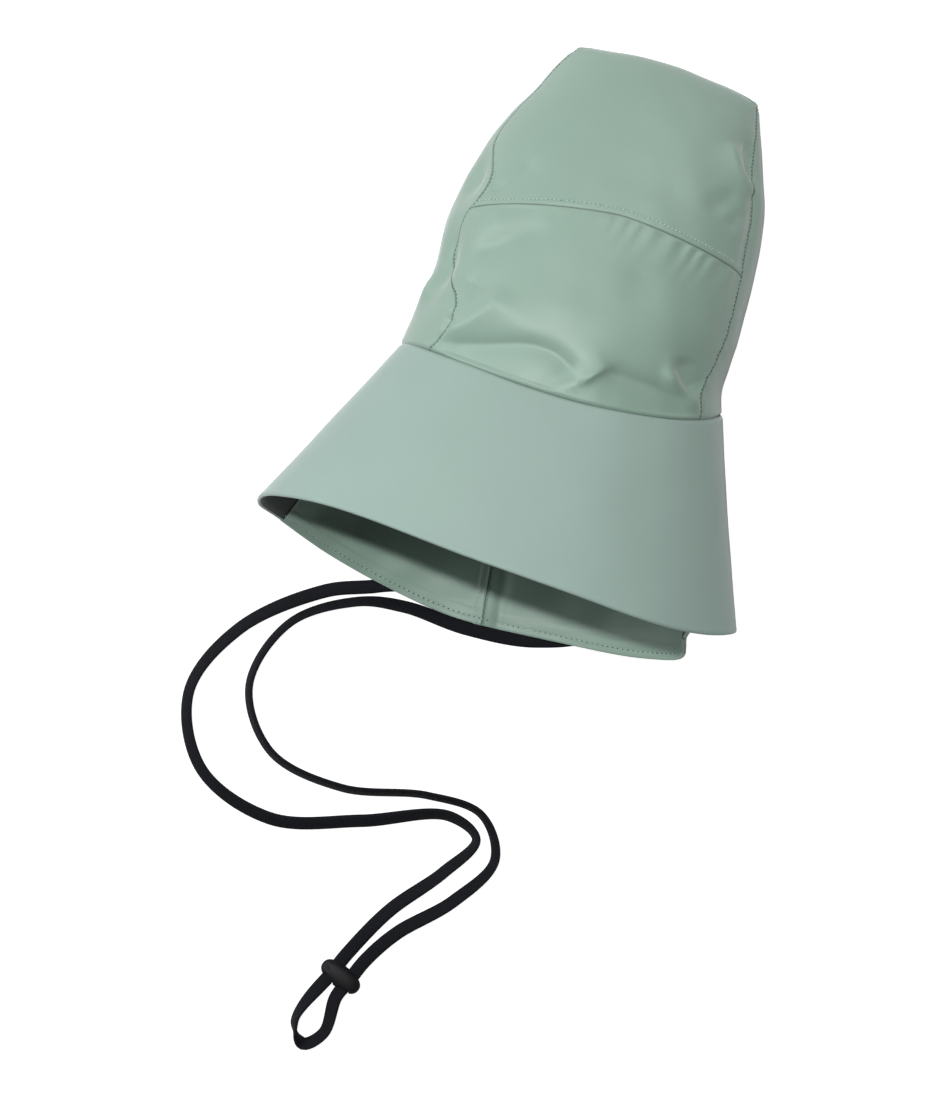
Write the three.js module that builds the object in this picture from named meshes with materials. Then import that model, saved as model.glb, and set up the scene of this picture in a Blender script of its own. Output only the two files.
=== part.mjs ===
// A rain hat lying on its back, with a long stiff bill, a soft neck cape and a chin cord with a lock.
// Millimetres. +X runs across the hat, +Y from the rim to the top of the crown, and +Z up.
// A place on the hat is a turn about its length, 0 at the middle of the front and positive towards +X,
// and a distance along the crown or down the brim.

import * as THREE from "three";

const { clamp, degToRad, lerp } = THREE.MathUtils;

// Crown
const crownWidth = 184;
const crownHeight = 191;
const crownDepth = 150;
const crownWall = 1.2;

// Bill and cape, which share one rim
const rimWidth = 273;
const rimDepth = 187;
const rimShift = -4.5;
const billLength = 98;
const capeLength = 144;
const sideLength = 107;
const billWall = 2.4;
const capeWall = 1.4;
const capeLift = 3.6;

// Running gap left between two sewn pieces
const seamGap = 0.4;

// Chin cord and its lock
const cordWidth = 7.5;
const cordThickness = 2.6;
const cordChamfer = 0.87;
const cordClearance = 0.2;
const lockWidth = 26;
const lockHeight = 9;
const lockLength = 10.5;
const lockBevel = 0.7;
const lockHoleSpacing = 10.6;
const lockHoleClearance = 0.6;
const lockCentre = new THREE.Vector2(-26.5, -362);
const lockTurn = degToRad(-22.8);

// How square the front and the back of a crown section are, and how high its widest place lies
const frontSquareness = 2.3;
const backSquareness = 3.4;
const widestShare = 0.45;

// How far the cloth settles where the crown rests, so that its underside lies flat on the ground
const settle = 0.6;

// How square the upper and the lower half of the rim are
const rimFrontSquareness = 2.25;
const rimBackSquareness = 2.5;
const rimWidestShare = 0.56;

// How fully the rim's front and back keep their length towards the sides
const rimFullness = 1.8;

// Sections of the crown from the brim seam to the end of its top. along is a share of crownHeight, half of
// half the crownWidth, shift of crownWidth, top and bottom of crownDepth. left, right and back are shares of
// the section's own half width, where the left, right and back seams of the middle strip cross it.
const crownSections = [
  { along: 0.0, half: 1.0, shift: 0.002, top: 1.0, bottom: 0.08, left: 0.82, right: 0.8, back: 0.5 },
  { along: 0.08, half: 0.972, shift: -0.004, top: 1.01, bottom: 0.022, left: 0.75, right: 0.858, back: 0.5 },
  { along: 0.16, half: 0.965, shift: 0.002, top: 1.0, bottom: 0.0, left: 0.78, right: 0.885, back: 0.5 },
  { along: 0.25, half: 0.955, shift: 0.014, top: 0.98, bottom: 0.0, left: 0.905, right: 0.899, back: 0.51 },
  { along: 0.38, half: 0.958, shift: 0.01, top: 0.935, bottom: 0.0, left: 0.893, right: 0.906, back: 0.53 },
  { along: 0.5, half: 0.931, shift: 0.015, top: 0.873, bottom: 0.0, left: 0.84, right: 0.907, back: 0.56 },
  { along: 0.62, half: 0.888, shift: 0.026, top: 0.79, bottom: 0.0, left: 0.946, right: 0.89, back: 0.6 },
  { along: 0.73, half: 0.813, shift: 0.033, top: 0.7, bottom: 0.005, left: 0.965, right: 0.91, back: 0.66 },
  { along: 0.83, half: 0.73, shift: 0.043, top: 0.6, bottom: 0.035, left: 0.97, right: 0.93, back: 0.74 },
  { along: 0.92, half: 0.663, shift: 0.049, top: 0.49, bottom: 0.11, left: 0.975, right: 0.955, back: 0.84 },
  { along: 0.98, half: 0.613, shift: 0.0565, top: 0.4, bottom: 0.2, left: 0.98, right: 0.975, back: 0.93 },
  { along: 1.0, half: 0.598, shift: 0.061, top: 0.31, bottom: 0.31, left: 0.985, right: 0.985, back: 0.985 },
];

// The arched seam between the front panel and the middle strip, as places counted in rows of crownSections
const archCrest = 4.93;
const archEnds = 4.5;
const archFullness = 2.4;

// How the brim seam departs from a level ring, as shares of crownHeight, and how soon that fades
const seamFrontDip = -0.067;
const seamSideRise = 0.0035;
const seamLean = 0.033;
const seamTwist = -0.021;
const seamFade = 3;

// How the end of the crown's top bows back towards its two corners, as shares of crownHeight, and how close
// to the end that stays
const endBow = -0.043;
const endLean = -0.009;
const endFade = 8;

// Dents and folds of the crown. along and long are shares of crownHeight, wide of crownWidth and deep of
// crownDepth, negative inwards. turn and slant are in degrees, and slant turns a fold from lengthwise.
const crownFolds = [
  { along: 0.25, turn: -64, long: 0.1, wide: 0.06, deep: -0.035, slant: 0 },
  { along: 0.1, turn: -38, long: 0.05, wide: 0.2, deep: -0.022, slant: 12 },
  { along: 0.17, turn: -30, long: 0.035, wide: 0.2, deep: 0.02, slant: 18 },
  { along: 0.07, turn: 26, long: 0.16, wide: 0.06, deep: -0.024, slant: -38 },
  { along: 0.08, turn: 52, long: 0.05, wide: 0.1, deep: 0.016, slant: -20 },
  { along: 0.5, turn: -66, long: 0.06, wide: 0.07, deep: -0.03, slant: 10 },
  { along: 0.62, turn: 62, long: 0.2, wide: 0.05, deep: -0.018, slant: 4 },
  { along: 0.7, turn: 0, long: 0.16, wide: 0.3, deep: -0.02, slant: 0 },
];

// Where the rim leaves its plain outline. turn and spread are in degrees. out is a share of rimWidth, and
// down of sideLength, positive away from the crown.
const rimFolds = [
  { turn: -40, spread: 30, out: 0, down: -0.06 },
  { turn: 45, spread: 28, out: 0, down: 0.06 },
  { turn: 112, spread: 16, out: -0.06, down: 0 },
  { turn: 136, spread: 20, out: 0, down: 0.07 },
];

// Where the bill ends and the cape begins, as turns on each side, how far the seam down the middle of the
// cape turns between the rim and the brim seam, and the bulge of bill and cape between the two
const billEndLeft = degToRad(-119);
const billEndRight = degToRad(117);
const capeSeamSlant = degToRad(10);
const billBulge = 2.5;
const capeSag = 3;

// Facets of each piece
const facetsPerSection = 2;
const frontPanelAcross = 22;
const topPanelAcross = 20;
const sidePanelAcross = 12;
const billFacets = { across: 48, along: 8 };
const capeFacets = { across: 16, along: 9 };
const cordStepsPerPoint = 2;
const lockSegments = { curve: 5, bevel: 2 };

// The cord's route, from its left end at the brim seam, out under the cape, through the lock, round the loop,
// back through the lock and under the cape to its right end
const onTable = cordThickness / 2 + cordClearance;
const cordRoute = [
  [-57, -5, 13.0],
  [-45, -36, 1.6],
  [-33, -88, onTable],
  [-43, -127, onTable],
  [-68, -139.5, onTable],
  [-97, -151, onTable],
  [-138, -185, onTable],
  [-156, -228, onTable],
  [-137, -269, onTable],
  [-91, -285.6, onTable],
  [-40, -272.5, onTable],
  [8, -255.8, onTable],
  [27, -264.5, onTable],
  [14, -288, onTable],
  [-10, -318, onTable],
  [-26.6, -348.5, 4.2],
  [-31.4, -360, 4.5],
  [-45, -394, 1.7],
  [-37, -405.3, onTable],
  [-27, -396, 1.7],
  [-25.9, -374.2, 4.2],
  [-21.6, -364, 4.5],
  [-15.2, -348.8, 4.2],
  [-2, -329, onTable],
  [24, -302.5, onTable],
  [40.5, -273, onTable],
  [26, -250, onTable],
  [-7, -247.8, onTable],
  [-56, -257.2, onTable],
  [-101, -248.5, onTable],
  [-123.5, -215, onTable],
  [-111, -174, onTable],
  [-77, -151.5, onTable],
  [-50, -146.8, onTable],
  [-12, -149, onTable],
  [28, -145, onTable],
  [60, -130, onTable],
  [76, -90, onTable],
  [72, -34, 1.6],
  [61, -5.5, 13.5],
];

const lastSection = crownSections.length - 1;

// How far a rounded rectangle with half sizes of 1 reaches at a turn
function reachAt(turn, squareness) {
  const across = Math.abs(Math.sin(turn)) ** squareness;
  const upright = Math.abs(Math.cos(turn)) ** squareness;
  return (across + upright) ** (-1 / squareness);
}

// The turn at which such an outline stands out sideways by a share of its half width
function turnAt(share, squareness) {
  const upright = (1 - share ** squareness) ** (1 / squareness);
  return Math.atan2(share, upright);
}

// A row of crownSections, with one made up before the first, and one past the last that folds the section
// over so that the end is round
function sectionRow(index) {
  if (index < 0) {
    const [first, second] = crownSections;
    return Object.fromEntries(Object.keys(first).map((key) => [key, 2 * first[key] - second[key]]));
  }
  if (index > lastSection) {
    const before = crownSections[lastSection - 1];
    return { ...before, top: before.bottom, bottom: before.top };
  }
  return crownSections[index];
}

// The crown's section at a place counted in rows, as lengths, on a smooth curve through the rows
function sectionAt(place) {
  const index = clamp(Math.floor(place), 0, lastSection - 1);
  const rows = [index - 1, index, index + 1, index + 2].map(sectionRow);
  const t = place - index;
  const weights = [
    (-t + 2 * t ** 2 - t ** 3) / 2,
    (2 - 5 * t ** 2 + 3 * t ** 3) / 2,
    (t + 4 * t ** 2 - 3 * t ** 3) / 2,
    (t ** 3 - t ** 2) / 2,
  ];
  const mix = (key) => rows.reduce((sum, row, i) => sum + weights[i] * row[key], 0);
  return {
    along: mix("along"),
    half: (crownWidth / 2) * mix("half"),
    shift: crownWidth * mix("shift"),
    top: crownDepth * mix("top"),
    bottom: crownDepth * Math.max(0, mix("bottom")),
    left: mix("left"),
    right: mix("right"),
    back: mix("back"),
  };
}

// A soft bump of height 1 that falls away over a distance of 1
function bump(distanceSquared) {
  return Math.exp(-distanceSquared);
}

// How far the folds push the crown out at a place
function crownRelief(along, turn) {
  return crownFolds.reduce((sum, fold) => {
    const up = (along - fold.along) * crownHeight;
    const around = ((turn - degToRad(fold.turn)) * crownWidth) / 2;
    const slant = degToRad(fold.slant);
    const lengthwise = up * Math.cos(slant) + around * Math.sin(slant);
    const sideways = around * Math.cos(slant) - up * Math.sin(slant);
    const reach = Math.hypot(lengthwise / (fold.long * crownHeight), sideways / (fold.wide * crownWidth));
    return sum + fold.deep * crownDepth * bump(reach ** 2);
  }, 0);
}

// A point on the crown's outer face
function crownPoint(place, turn) {
  const section = sectionAt(place);
  const overTop = Math.cos(turn) >= 0;
  const reach = reachAt(turn, overTop ? frontSquareness : backSquareness);
  const middle = lerp(section.bottom, section.top, widestShare);
  const height = overTop ? section.top - middle : middle - section.bottom;
  const relief = crownRelief(section.along, turn);
  const fade = (1 - section.along) ** seamFade;
  const bow = section.along ** endFade;
  const dip = overTop ? seamFrontDip * Math.cos(turn) ** 2 : 0;
  const twist = overTop ? seamTwist * Math.sin(2 * turn) : 0;
  const tilt = seamSideRise + dip + seamLean * Math.sin(turn) + twist;
  const bend = endBow * Math.sin(turn) ** 2 + endLean * Math.sin(turn);
  const level = middle + (height + (overTop ? relief : 0)) * Math.cos(turn) * reach;
  return new THREE.Vector3(
    section.shift + (section.half + relief) * Math.sin(turn) * reach,
    crownHeight * (section.along + fade * tilt + bow * bend),
    Math.max(0, level - settle)
  );
}

// A point on the rim's outer face
function rimPoint(turn) {
  const overTop = Math.cos(turn) >= 0;
  const reach = reachAt(turn, overTop ? rimFrontSquareness : rimBackSquareness);
  const middle = capeLift + rimWidestShare * rimDepth;
  const height = overTop ? capeLift + rimDepth - middle : middle - capeLift;
  const endLength = overTop ? billLength - crownHeight * seamFrontDip : capeLength;
  const point = new THREE.Vector3(
    rimShift + (rimWidth / 2) * Math.sin(turn) * reach,
    -lerp(sideLength, endLength, Math.abs(Math.cos(turn)) ** rimFullness),
    middle + height * Math.cos(turn) * reach
  );
  for (const fold of rimFolds) {
    const away = bump(((turn - degToRad(fold.turn)) / degToRad(fold.spread)) ** 2);
    point.x += fold.out * rimWidth * away * Math.sign(fold.turn);
    point.y -= fold.down * sideLength * away;
  }
  return point;
}

// A point on the brim's outer face, from 0 at the rim to 1 at the brim seam
function brimPoint(rise, turn) {
  const rim = rimPoint(turn);
  const seam = crownPoint(0, turn);
  const point = rim.lerp(seam, rise);
  const swell = Math.sin(Math.PI * rise);
  const up = Math.cos(turn);
  point.z += swell * (up > 0 ? billBulge * up : -capeSag * up * up);
  return point;
}

// The two directions of a surface given as a function of two shares, each as long as a share of 1 reaches
function tangentsAt(pointAt, a, b) {
  const step = 1e-3;
  const across = pointAt(a + step, b).sub(pointAt(a - step, b));
  const along = pointAt(a, b + step).sub(pointAt(a, b - step));
  return [across, along].map((tangent) => tangent.divideScalar(2 * step));
}

// The outward normal of such a surface
function normalAt(pointAt, a, b) {
  const [across, along] = tangentsAt(pointAt, a, b);
  return across.cross(along).normalize();
}

// Shares that leave half the seam gap at both ends of a run of the given length
function insetShare(share, length) {
  const margin = seamGap / 2 / length;
  return margin + (1 - 2 * margin) * share;
}

// A sewn panel: a sheet of one thickness between the edges of a surface given as a function of two shares
function panel(pointAt, facets, wall) {
  const outer = [];
  const inner = [];
  for (let row = 0; row <= facets.along; row++) {
    for (let column = 0; column <= facets.across; column++) {
      const a = column / facets.across;
      const b = row / facets.along;
      const [across, along] = tangentsAt(pointAt, a, b);
      const insideA = insetShare(a, across.length());
      const insideB = insetShare(b, along.length());
      const point = pointAt(insideA, insideB);
      outer.push(point);
      inner.push(point.clone().addScaledVector(normalAt(pointAt, insideA, insideB), -wall));
    }
  }
  return shell(outer, inner, facets);
}

// A closed geometry from two grids of points, one on each face of a sheet
function shell(outer, inner, { across, along }) {
  const points = [...outer, ...inner];
  const offset = outer.length;
  const at = (column, row) => row * (across + 1) + column;
  const triangles = [];
  const quad = (a, b, c, d) => triangles.push(a, b, c, a, c, d);
  for (let row = 0; row < along; row++) {
    for (let column = 0; column < across; column++) {
      const corners = [at(column, row), at(column + 1, row), at(column + 1, row + 1), at(column, row + 1)];
      quad(...corners);
      quad(...corners.map((corner) => corner + offset).reverse());
    }
  }
  const border = [];
  for (let column = 0; column < across; column++) border.push(at(column, 0));
  for (let row = 0; row < along; row++) border.push(at(across, row));
  for (let column = across; column > 0; column--) border.push(at(column, along));
  for (let row = along; row > 0; row--) border.push(at(0, row));
  border.forEach((corner, i) => {
    const next = border[(i + 1) % border.length];
    quad(next, corner, corner + offset, next + offset);
  });
  const geometry = new THREE.BufferGeometry().setFromPoints(points);
  geometry.setIndex(triangles);
  geometry.computeVertexNormals();
  return geometry;
}

// The turns at which the seams of the middle strip cross a section, in front and at the back
function seamTurns(place) {
  const section = sectionAt(place);
  return {
    left: -turnAt(section.left, frontSquareness),
    right: turnAt(section.right, frontSquareness),
    back: Math.PI - turnAt(section.back, backSquareness),
  };
}

// The place of the arched seam, by the share of the way across the front
function archPlace(share) {
  return lerp(archCrest, archEnds, Math.abs(2 * share - 1) ** archFullness);
}

function frontPanelPoint(a, b) {
  const place = b * archPlace(a);
  const { left, right } = seamTurns(place);
  return crownPoint(place, lerp(left, right, a));
}

// The middle strip runs from the arched seam over the end of the crown and down the back
const rowsToEnd = facetsPerSection * (lastSection - archEnds);
const rowsDownBack = facetsPerSection * lastSection;
const overEnd = rowsToEnd / (rowsToEnd + rowsDownBack);

function topPanelPoint(a, b) {
  if (b <= overEnd) {
    const place = lerp(archPlace(a), lastSection, b / overEnd);
    const { left, right } = seamTurns(place);
    return crownPoint(place, lerp(left, right, a));
  }
  const place = lerp(lastSection, 0, (b - overEnd) / (1 - overEnd));
  const { back } = seamTurns(place);
  return crownPoint(place, lerp(2 * Math.PI - back, back, a));
}

// A side panel narrows to a point at the corner of the crown's end, and its last facet stops short of it
const cornerShare = 0.24;

function sidePanelPoint(side) {
  const lastFacet = lastSection - 1 / facetsPerSection;
  return (a, b) => {
    const whole = b * lastSection;
    const place = whole - cornerShare * Math.max(0, whole - lastFacet);
    const { left, right, back } = seamTurns(place);
    return crownPoint(place, side < 0 ? lerp(-back, left, a) : lerp(right, back, a));
  };
}

function billPoint(a, b) {
  return brimPoint(b, lerp(billEndLeft, billEndRight, a));
}

function leftCapePoint(a, b) {
  return brimPoint(b, lerp(capeSeamSlant * b - Math.PI, billEndLeft, a));
}

function rightCapePoint(a, b) {
  return brimPoint(b, lerp(billEndRight, capeSeamSlant * b + Math.PI, a));
}

// The cord's route takes the same number of steps between each two of its points, so that they lie close
// together in the loop and the lock, and it never dips below where it rests on the ground
class CordRoute extends THREE.CatmullRomCurve3 {
  getUtoTmapping(share) {
    return share;
  }

  getPoint(share, target) {
    const point = super.getPoint(share, target);
    point.z = Math.max(point.z, onTable);
    return point;
  }
}

function cordGeometry() {
  const route = new CordRoute(cordRoute.map((point) => new THREE.Vector3(...point)));
  const [edge, face] = [cordWidth / 2, cordThickness / 2];
  const corners = [
    [face, edge - cordChamfer],
    [face - cordChamfer, edge],
    [cordChamfer - face, edge],
    [-face, edge - cordChamfer],
    [-face, cordChamfer - edge],
    [cordChamfer - face, -edge],
    [face - cordChamfer, -edge],
    [face, cordChamfer - edge],
  ];
  const section = new THREE.Shape(corners.map(([x, y]) => new THREE.Vector2(x, y)));
  const steps = cordStepsPerPoint * (cordRoute.length - 1);
  return new THREE.ExtrudeGeometry(section, { extrudePath: route, steps });
}

// An outline with round ends, centred on a point
function roundEnded(target, centreX, width, height) {
  const straight = width / 2 - height / 2;
  target.absarc(centreX + straight, 0, height / 2, -Math.PI / 2, Math.PI / 2, false);
  target.absarc(centreX - straight, 0, height / 2, Math.PI / 2, (3 * Math.PI) / 2, false);
  return target;
}

function lockGeometry() {
  const outline = roundEnded(new THREE.Shape(), 0, lockWidth, lockHeight);
  const holeWidth = cordWidth + 2 * lockHoleClearance;
  const holeHeight = cordThickness + 2 * lockHoleClearance;
  for (const side of [-1, 1]) {
    const hole = roundEnded(new THREE.Path(), (side * lockHoleSpacing) / 2, holeWidth, holeHeight);
    outline.holes.push(hole);
  }
  const geometry = new THREE.ExtrudeGeometry(outline, {
    depth: lockLength - 2 * lockBevel,
    bevelSize: lockBevel,
    bevelThickness: lockBevel,
    bevelOffset: -lockBevel,
    bevelSegments: lockSegments.bevel,
    curveSegments: lockSegments.curve,
  });
  return geometry.translate(0, 0, lockBevel - lockLength / 2);
}

const shellCloth = { color: 0x96b1a0, roughness: 0.8, metalness: 0 };
const cordBraid = { color: 0x161822, roughness: 0.85, metalness: 0 };
const lockRubber = { color: 0x262428, roughness: 0.55, metalness: 0 };

const hat = new THREE.Group();

function add(name, geometry, finish) {
  const mesh = new THREE.Mesh(geometry, new THREE.MeshStandardMaterial(finish));
  mesh.name = name;
  hat.add(mesh);
  return mesh;
}

const frontPanelFacets = { across: frontPanelAcross, along: facetsPerSection * archEnds };
const topPanelFacets = { across: topPanelAcross, along: rowsToEnd + rowsDownBack };
const sidePanelFacets = { across: sidePanelAcross, along: facetsPerSection * lastSection };

add("crown_front_panel", panel(frontPanelPoint, frontPanelFacets, crownWall), shellCloth);
add("crown_top_panel", panel(topPanelPoint, topPanelFacets, crownWall), shellCloth);
add("crown_left_panel", panel(sidePanelPoint(-1), sidePanelFacets, crownWall), shellCloth);
add("crown_right_panel", panel(sidePanelPoint(1), sidePanelFacets, crownWall), shellCloth);
add("brim_front", panel(billPoint, billFacets, billWall), shellCloth);
add("brim_back_left", panel(leftCapePoint, capeFacets, capeWall), shellCloth);
add("brim_back_right", panel(rightCapePoint, capeFacets, capeWall), shellCloth);

// The hat stands in the middle of its own ground plan, and the cord lies beside it
const ground = new THREE.Box3().setFromObject(hat);
hat.position.set(-(ground.min.x + ground.max.x) / 2, -(ground.min.y + ground.max.y) / 2, -ground.min.z);

add("chin_cord", cordGeometry(), cordBraid);
const lock = add("cord_lock", lockGeometry(), lockRubber);
lock.rotation.set(Math.PI / 2, 0, lockTurn, "ZYX");
lock.position.set(lockCentre.x, lockCentre.y, lockHeight / 2);

export default hat;
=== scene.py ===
"""A rain hat lying on its back, with a stiff bill, a neck cape, a flat chin cord and a rubber cord lock.

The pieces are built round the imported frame, in metres. The hat's own plan has its origin in the middle of the
brim seam: x runs across the hat, y from the rim to the top of the crown, and z up from the table.
"""

from __future__ import annotations

import logging
import math
from collections.abc import Callable, Sequence
from dataclasses import dataclass, field, replace
from enum import Enum

import bmesh
import bpy
import numpy as np
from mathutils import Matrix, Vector
from numpy.typing import NDArray

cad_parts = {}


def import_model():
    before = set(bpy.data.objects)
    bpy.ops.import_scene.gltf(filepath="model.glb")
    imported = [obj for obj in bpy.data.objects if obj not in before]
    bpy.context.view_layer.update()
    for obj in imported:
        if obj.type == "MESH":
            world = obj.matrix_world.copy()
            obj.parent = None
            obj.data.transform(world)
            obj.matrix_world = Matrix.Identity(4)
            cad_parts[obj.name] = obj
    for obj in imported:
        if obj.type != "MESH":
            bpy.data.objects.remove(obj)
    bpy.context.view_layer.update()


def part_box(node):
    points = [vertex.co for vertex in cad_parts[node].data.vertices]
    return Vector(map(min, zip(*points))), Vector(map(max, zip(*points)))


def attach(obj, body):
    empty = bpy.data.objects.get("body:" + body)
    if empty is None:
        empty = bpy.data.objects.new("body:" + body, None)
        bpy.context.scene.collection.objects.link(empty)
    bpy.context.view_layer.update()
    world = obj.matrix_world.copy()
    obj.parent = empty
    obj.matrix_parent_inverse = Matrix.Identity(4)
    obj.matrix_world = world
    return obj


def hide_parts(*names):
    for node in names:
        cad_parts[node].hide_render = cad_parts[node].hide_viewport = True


log = logging.getLogger("rain_hat")

Grid = NDArray[np.float64]
Surface = Callable[[Grid, Grid], Grid]
Colour = tuple[float, float, float]

MM = 0.001
SEED = 7
CLOTH_EDGE_ANGLE = math.radians(50)


# Small helpers for grids of numbers


def unit(vectors: Grid) -> Grid:
    """Scales vectors to a length of 1."""
    return vectors / np.maximum(np.linalg.norm(vectors, axis=-1, keepdims=True), 1e-12)


def smoothstep(value: Grid, low: float, high: float) -> Grid:
    """Eases from 0 at low to 1 at high."""
    t = np.clip((value - low) / (high - low), 0, 1)
    return t * t * (3 - 2 * t)


def lerp(a: Grid, b: Grid, share: Grid) -> Grid:
    """Mixes a and b."""
    return a + (b - a) * share


def distances_along(line: Grid) -> Grid:
    """Gives how far each point of a line lies from its first one, measured along it."""
    return np.concatenate([[0], np.cumsum(np.linalg.norm(np.diff(line, axis=0), axis=1))])


def eased(count: int, tightness: float) -> Grid:
    """Shares from 0 to 1 that lie closer together at both ends.

    Args:
        count: how many steps there are.
        tightness: 0 for even steps, nearly 1 for very short ones at the ends.

    Returns:
        count + 1 shares.
    """
    t = np.linspace(0, 1, count + 1)
    return t - tightness * np.sin(2 * math.pi * t) / (2 * math.pi)


@dataclass(frozen=True)
class Ripples:
    """A soft unevenness of cloth, made of waves that run in random directions."""

    height: float
    shortest: float
    longest: float
    count: int = 14
    seed: int = SEED

    def at(self, points: Grid) -> Grid:
        """Gives the height of the ripples at points in space."""
        draw = np.random.default_rng(self.seed)
        total = np.zeros(points.shape[:-1])
        for _ in range(self.count):
            direction = unit(draw.normal(size=3))
            wavelength = math.exp(draw.uniform(math.log(self.shortest), math.log(self.longest)))
            phase = draw.uniform(0, 2 * math.pi)
            total += np.sin(points @ direction * (2 * math.pi / wavelength) + phase)
        return total * self.height / math.sqrt(self.count / 2)


# The hat's outer face


@dataclass(frozen=True)
class Section:
    """One section across the crown.

    along is a share of the crown's height, half of half its width, shift of its width, and top and bottom of
    its depth. left, right and back are shares of the section's own half width, where the strip's seams cross.
    """

    along: float
    half: float
    shift: float
    top: float
    bottom: float
    left: float
    right: float
    back: float

    def values(self) -> list[float]:
        """Lists the section's numbers in order."""
        return [self.along, self.half, self.shift, self.top, self.bottom, self.left, self.right, self.back]


@dataclass(frozen=True)
class Fold:
    """A dent or fold of the crown, as shares of the crown's height, width and depth and as degrees."""

    along: float
    turn: float
    long: float
    wide: float
    deep: float
    slant: float


@dataclass(frozen=True)
class RimFold:
    """A place where the rim leaves its outline: out is a share of its width, and down of its side length."""

    turn: float
    spread: float
    out: float
    down: float


SECTIONS = (
    Section(0.0, 1.0, 0.002, 1.0, 0.08, 0.82, 0.87, 0.5),
    Section(0.08, 0.972, -0.004, 1.01, 0.022, 0.75, 0.858, 0.5),
    Section(0.16, 0.965, 0.002, 1.0, 0.0, 0.78, 0.885, 0.5),
    Section(0.25, 0.955, 0.014, 0.98, 0.0, 0.94, 0.899, 0.51),
    Section(0.38, 0.958, 0.01, 0.935, 0.0, 0.893, 0.906, 0.53),
    Section(0.5, 0.931, 0.015, 0.873, 0.0, 0.84, 0.915, 0.56),
    Section(0.62, 0.888, 0.026, 0.79, 0.0, 0.946, 0.92, 0.6),
    Section(0.73, 0.813, 0.033, 0.7, 0.005, 0.965, 0.91, 0.66),
    Section(0.83, 0.73, 0.043, 0.6, 0.035, 0.97, 0.93, 0.74),
    Section(0.92, 0.663, 0.049, 0.49, 0.11, 0.975, 0.955, 0.84),
    Section(0.98, 0.613, 0.0565, 0.4, 0.2, 0.98, 0.975, 0.93),
    Section(1.0, 0.598, 0.061, 0.31, 0.31, 0.985, 0.985, 0.985),
)

FOLDS = (
    Fold(0.25, -64, 0.1, 0.06, -0.035, 0),
    Fold(0.1, -38, 0.05, 0.2, -0.004, 12),
    Fold(0.17, -30, 0.035, 0.2, 0.002, 18),
    Fold(0.07, 26, 0.16, 0.06, -0.006, -38),
    Fold(0.08, 52, 0.05, 0.1, 0.006, -20),
    Fold(0.5, -66, 0.06, 0.07, -0.03, 10),
    Fold(0.62, 62, 0.2, 0.05, -0.018, 4),
    Fold(0.7, 0, 0.16, 0.3, -0.02, 0),
)

RIM_FOLDS = (
    RimFold(-40, 30, 0, -0.06),
    RimFold(45, 28, 0, 0.06),
    RimFold(112, 16, -0.06, 0),
    RimFold(136, 20, 0, 0.07),
    RimFold(-101, 15, 0.014, 0.035),
    RimFold(127, 8, 0.02, 0.022),
    RimFold(-172, 12, 0, 0.011),
    RimFold(188, 12, 0, 0.011),
)


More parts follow.
